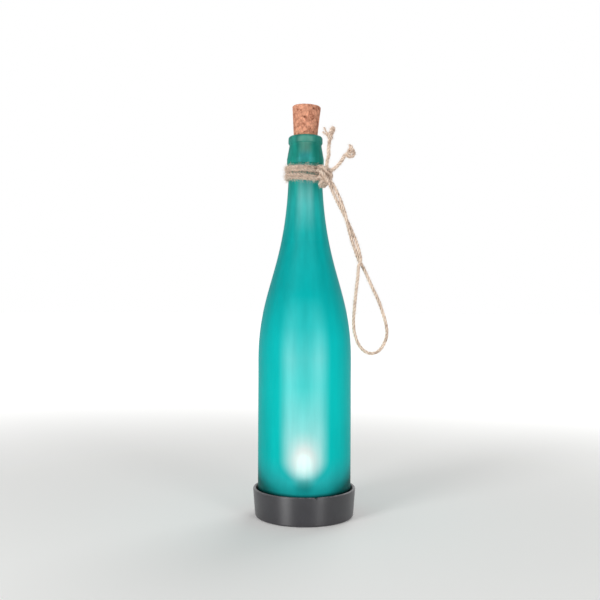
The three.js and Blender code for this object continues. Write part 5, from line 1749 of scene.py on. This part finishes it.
class LAMP_OT_solar_panel(bpy.types.Operator):
    """Make the solar panel and the clear window over it"""

    bl_idname = "lamp.solar_panel"
    bl_label = "Solar panel"

    def execute(self, context):
        panel = eased(node_copy("solar_panel"), CRISP_EDGE)
        add_piece("panel_cells", panel, "base", "solar_cell", ["solar_panel"])
        window = eased(node_copy("solar_window"), SOFT_EDGE)
        add_piece("window_plate", window, "base", "clear_plastic", ["solar_window"])
        return {"FINISHED"}


class LAMP_OT_screws(bpy.types.Operator):
    """Make the screws of the tray and of the board"""

    bl_idname = "lamp.screws"
    bl_label = "Screws"

    def execute(self, context):
        self.add_screws("tray_screws", ["tray_screw_1", "tray_screw_2", "tray_screw_3"])
        self.add_screws("board_screws", ["board_screw_1", "board_screw_2"])
        return {"FINISHED"}

    def add_screws(self, name, nodes):
        """Copies of the first screw at the places of them all."""
        corners = [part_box(node)[0] for node in nodes]
        screw = eased(node_copy(nodes[0]), FINE_EDGE)
        screw.transform(Matrix.Translation(-corners[0]))
        holder = added("screw", screw)
        places = bpy.data.meshes.new("places")
        places.from_pydata([tuple(corner) for corner in corners], [], [])
        screws = grown(places, "Screws", "screw_steel", {"Screw": holder})
        bpy.data.objects.remove(holder)
        add_piece(name, smoothed(screws), "base", "screw_steel", nodes)


class LAMP_OT_electronics(bpy.types.Operator):
    """Finish the board, the cell, the wires and the switch inside the base"""

    bl_idname = "lamp.electronics"
    bl_label = "Electronics"

    def execute(self, context):
        for node, slot, edge in COPIED_NODES:
            body = "switch" if node == "switch_knob" else "base"
            add_piece(f"{node}_finished", eased(node_copy(node), edge), body, slot, [node])
        return {"FINISHED"}


class LAMP_PT_sidebar(bpy.types.Panel):
    """Sidebar with the steps and the looks of the lamp"""

    bl_label = "Bottle lamp"
    bl_idname = "LAMP_PT_sidebar"
    bl_space_type = "VIEW_3D"
    bl_region_type = "UI"
    bl_category = "Bottle lamp"

    def draw(self, context):
        column = self.layout.column()
        for operator in OPERATORS:
            column.operator(operator.bl_idname)
        lamp = context.scene.bottle_lamp
        for looks in (lamp.glass, lamp.twine, lamp.cork, lamp.plastic, lamp.light, lamp.stage):
            box = self.layout.box()
            for name in looks.bl_rna.properties.keys():
                if name not in ("rna_type", "name"):
                    box.prop(looks, name)


LOOKS = (GlassLook, TwineLook, CorkLook, PlasticLook, LightLook, StageLook, LampLook)
OPERATORS = (
    LAMP_OT_stage, LAMP_OT_hanging_loop, LAMP_OT_tails, LAMP_OT_neck_wrap, LAMP_OT_neck_knot, LAMP_OT_bottle,
    LAMP_OT_cork, LAMP_OT_base_cup, LAMP_OT_seals, LAMP_OT_light_unit, LAMP_OT_solar_panel, LAMP_OT_screws,
    LAMP_OT_electronics,
)
CLASSES = (*LOOKS, *OPERATORS, LAMP_PT_sidebar)


def register():
    """Register the classes and put the looks on the scene."""
    for kind in CLASSES:
        bpy.utils.register_class(kind)
    bpy.types.Scene.bottle_lamp = group(LampLook, "Bottle lamp", "Looks of the bottle lamp")


def unregister():
    """Take the looks off the scene and unregister the classes."""
    del bpy.types.Scene.bottle_lamp
    for kind in reversed(CLASSES):
        bpy.utils.unregister_class(kind)


def main():
    """Make every piece."""
    register()
    bpy.ops.lamp.stage()
    bpy.ops.lamp.hanging_loop()
    bpy.ops.lamp.tails()
    bpy.ops.lamp.neck_wrap()
    bpy.ops.lamp.neck_knot()
    bpy.ops.lamp.bottle()
    bpy.ops.lamp.cork()
    bpy.ops.lamp.base_cup()
    bpy.ops.lamp.seals()
    bpy.ops.lamp.light_unit()
    bpy.ops.lamp.solar_panel()
    bpy.ops.lamp.screws()
    bpy.ops.lamp.electronics()


if __name__ == "__main__":
    main()
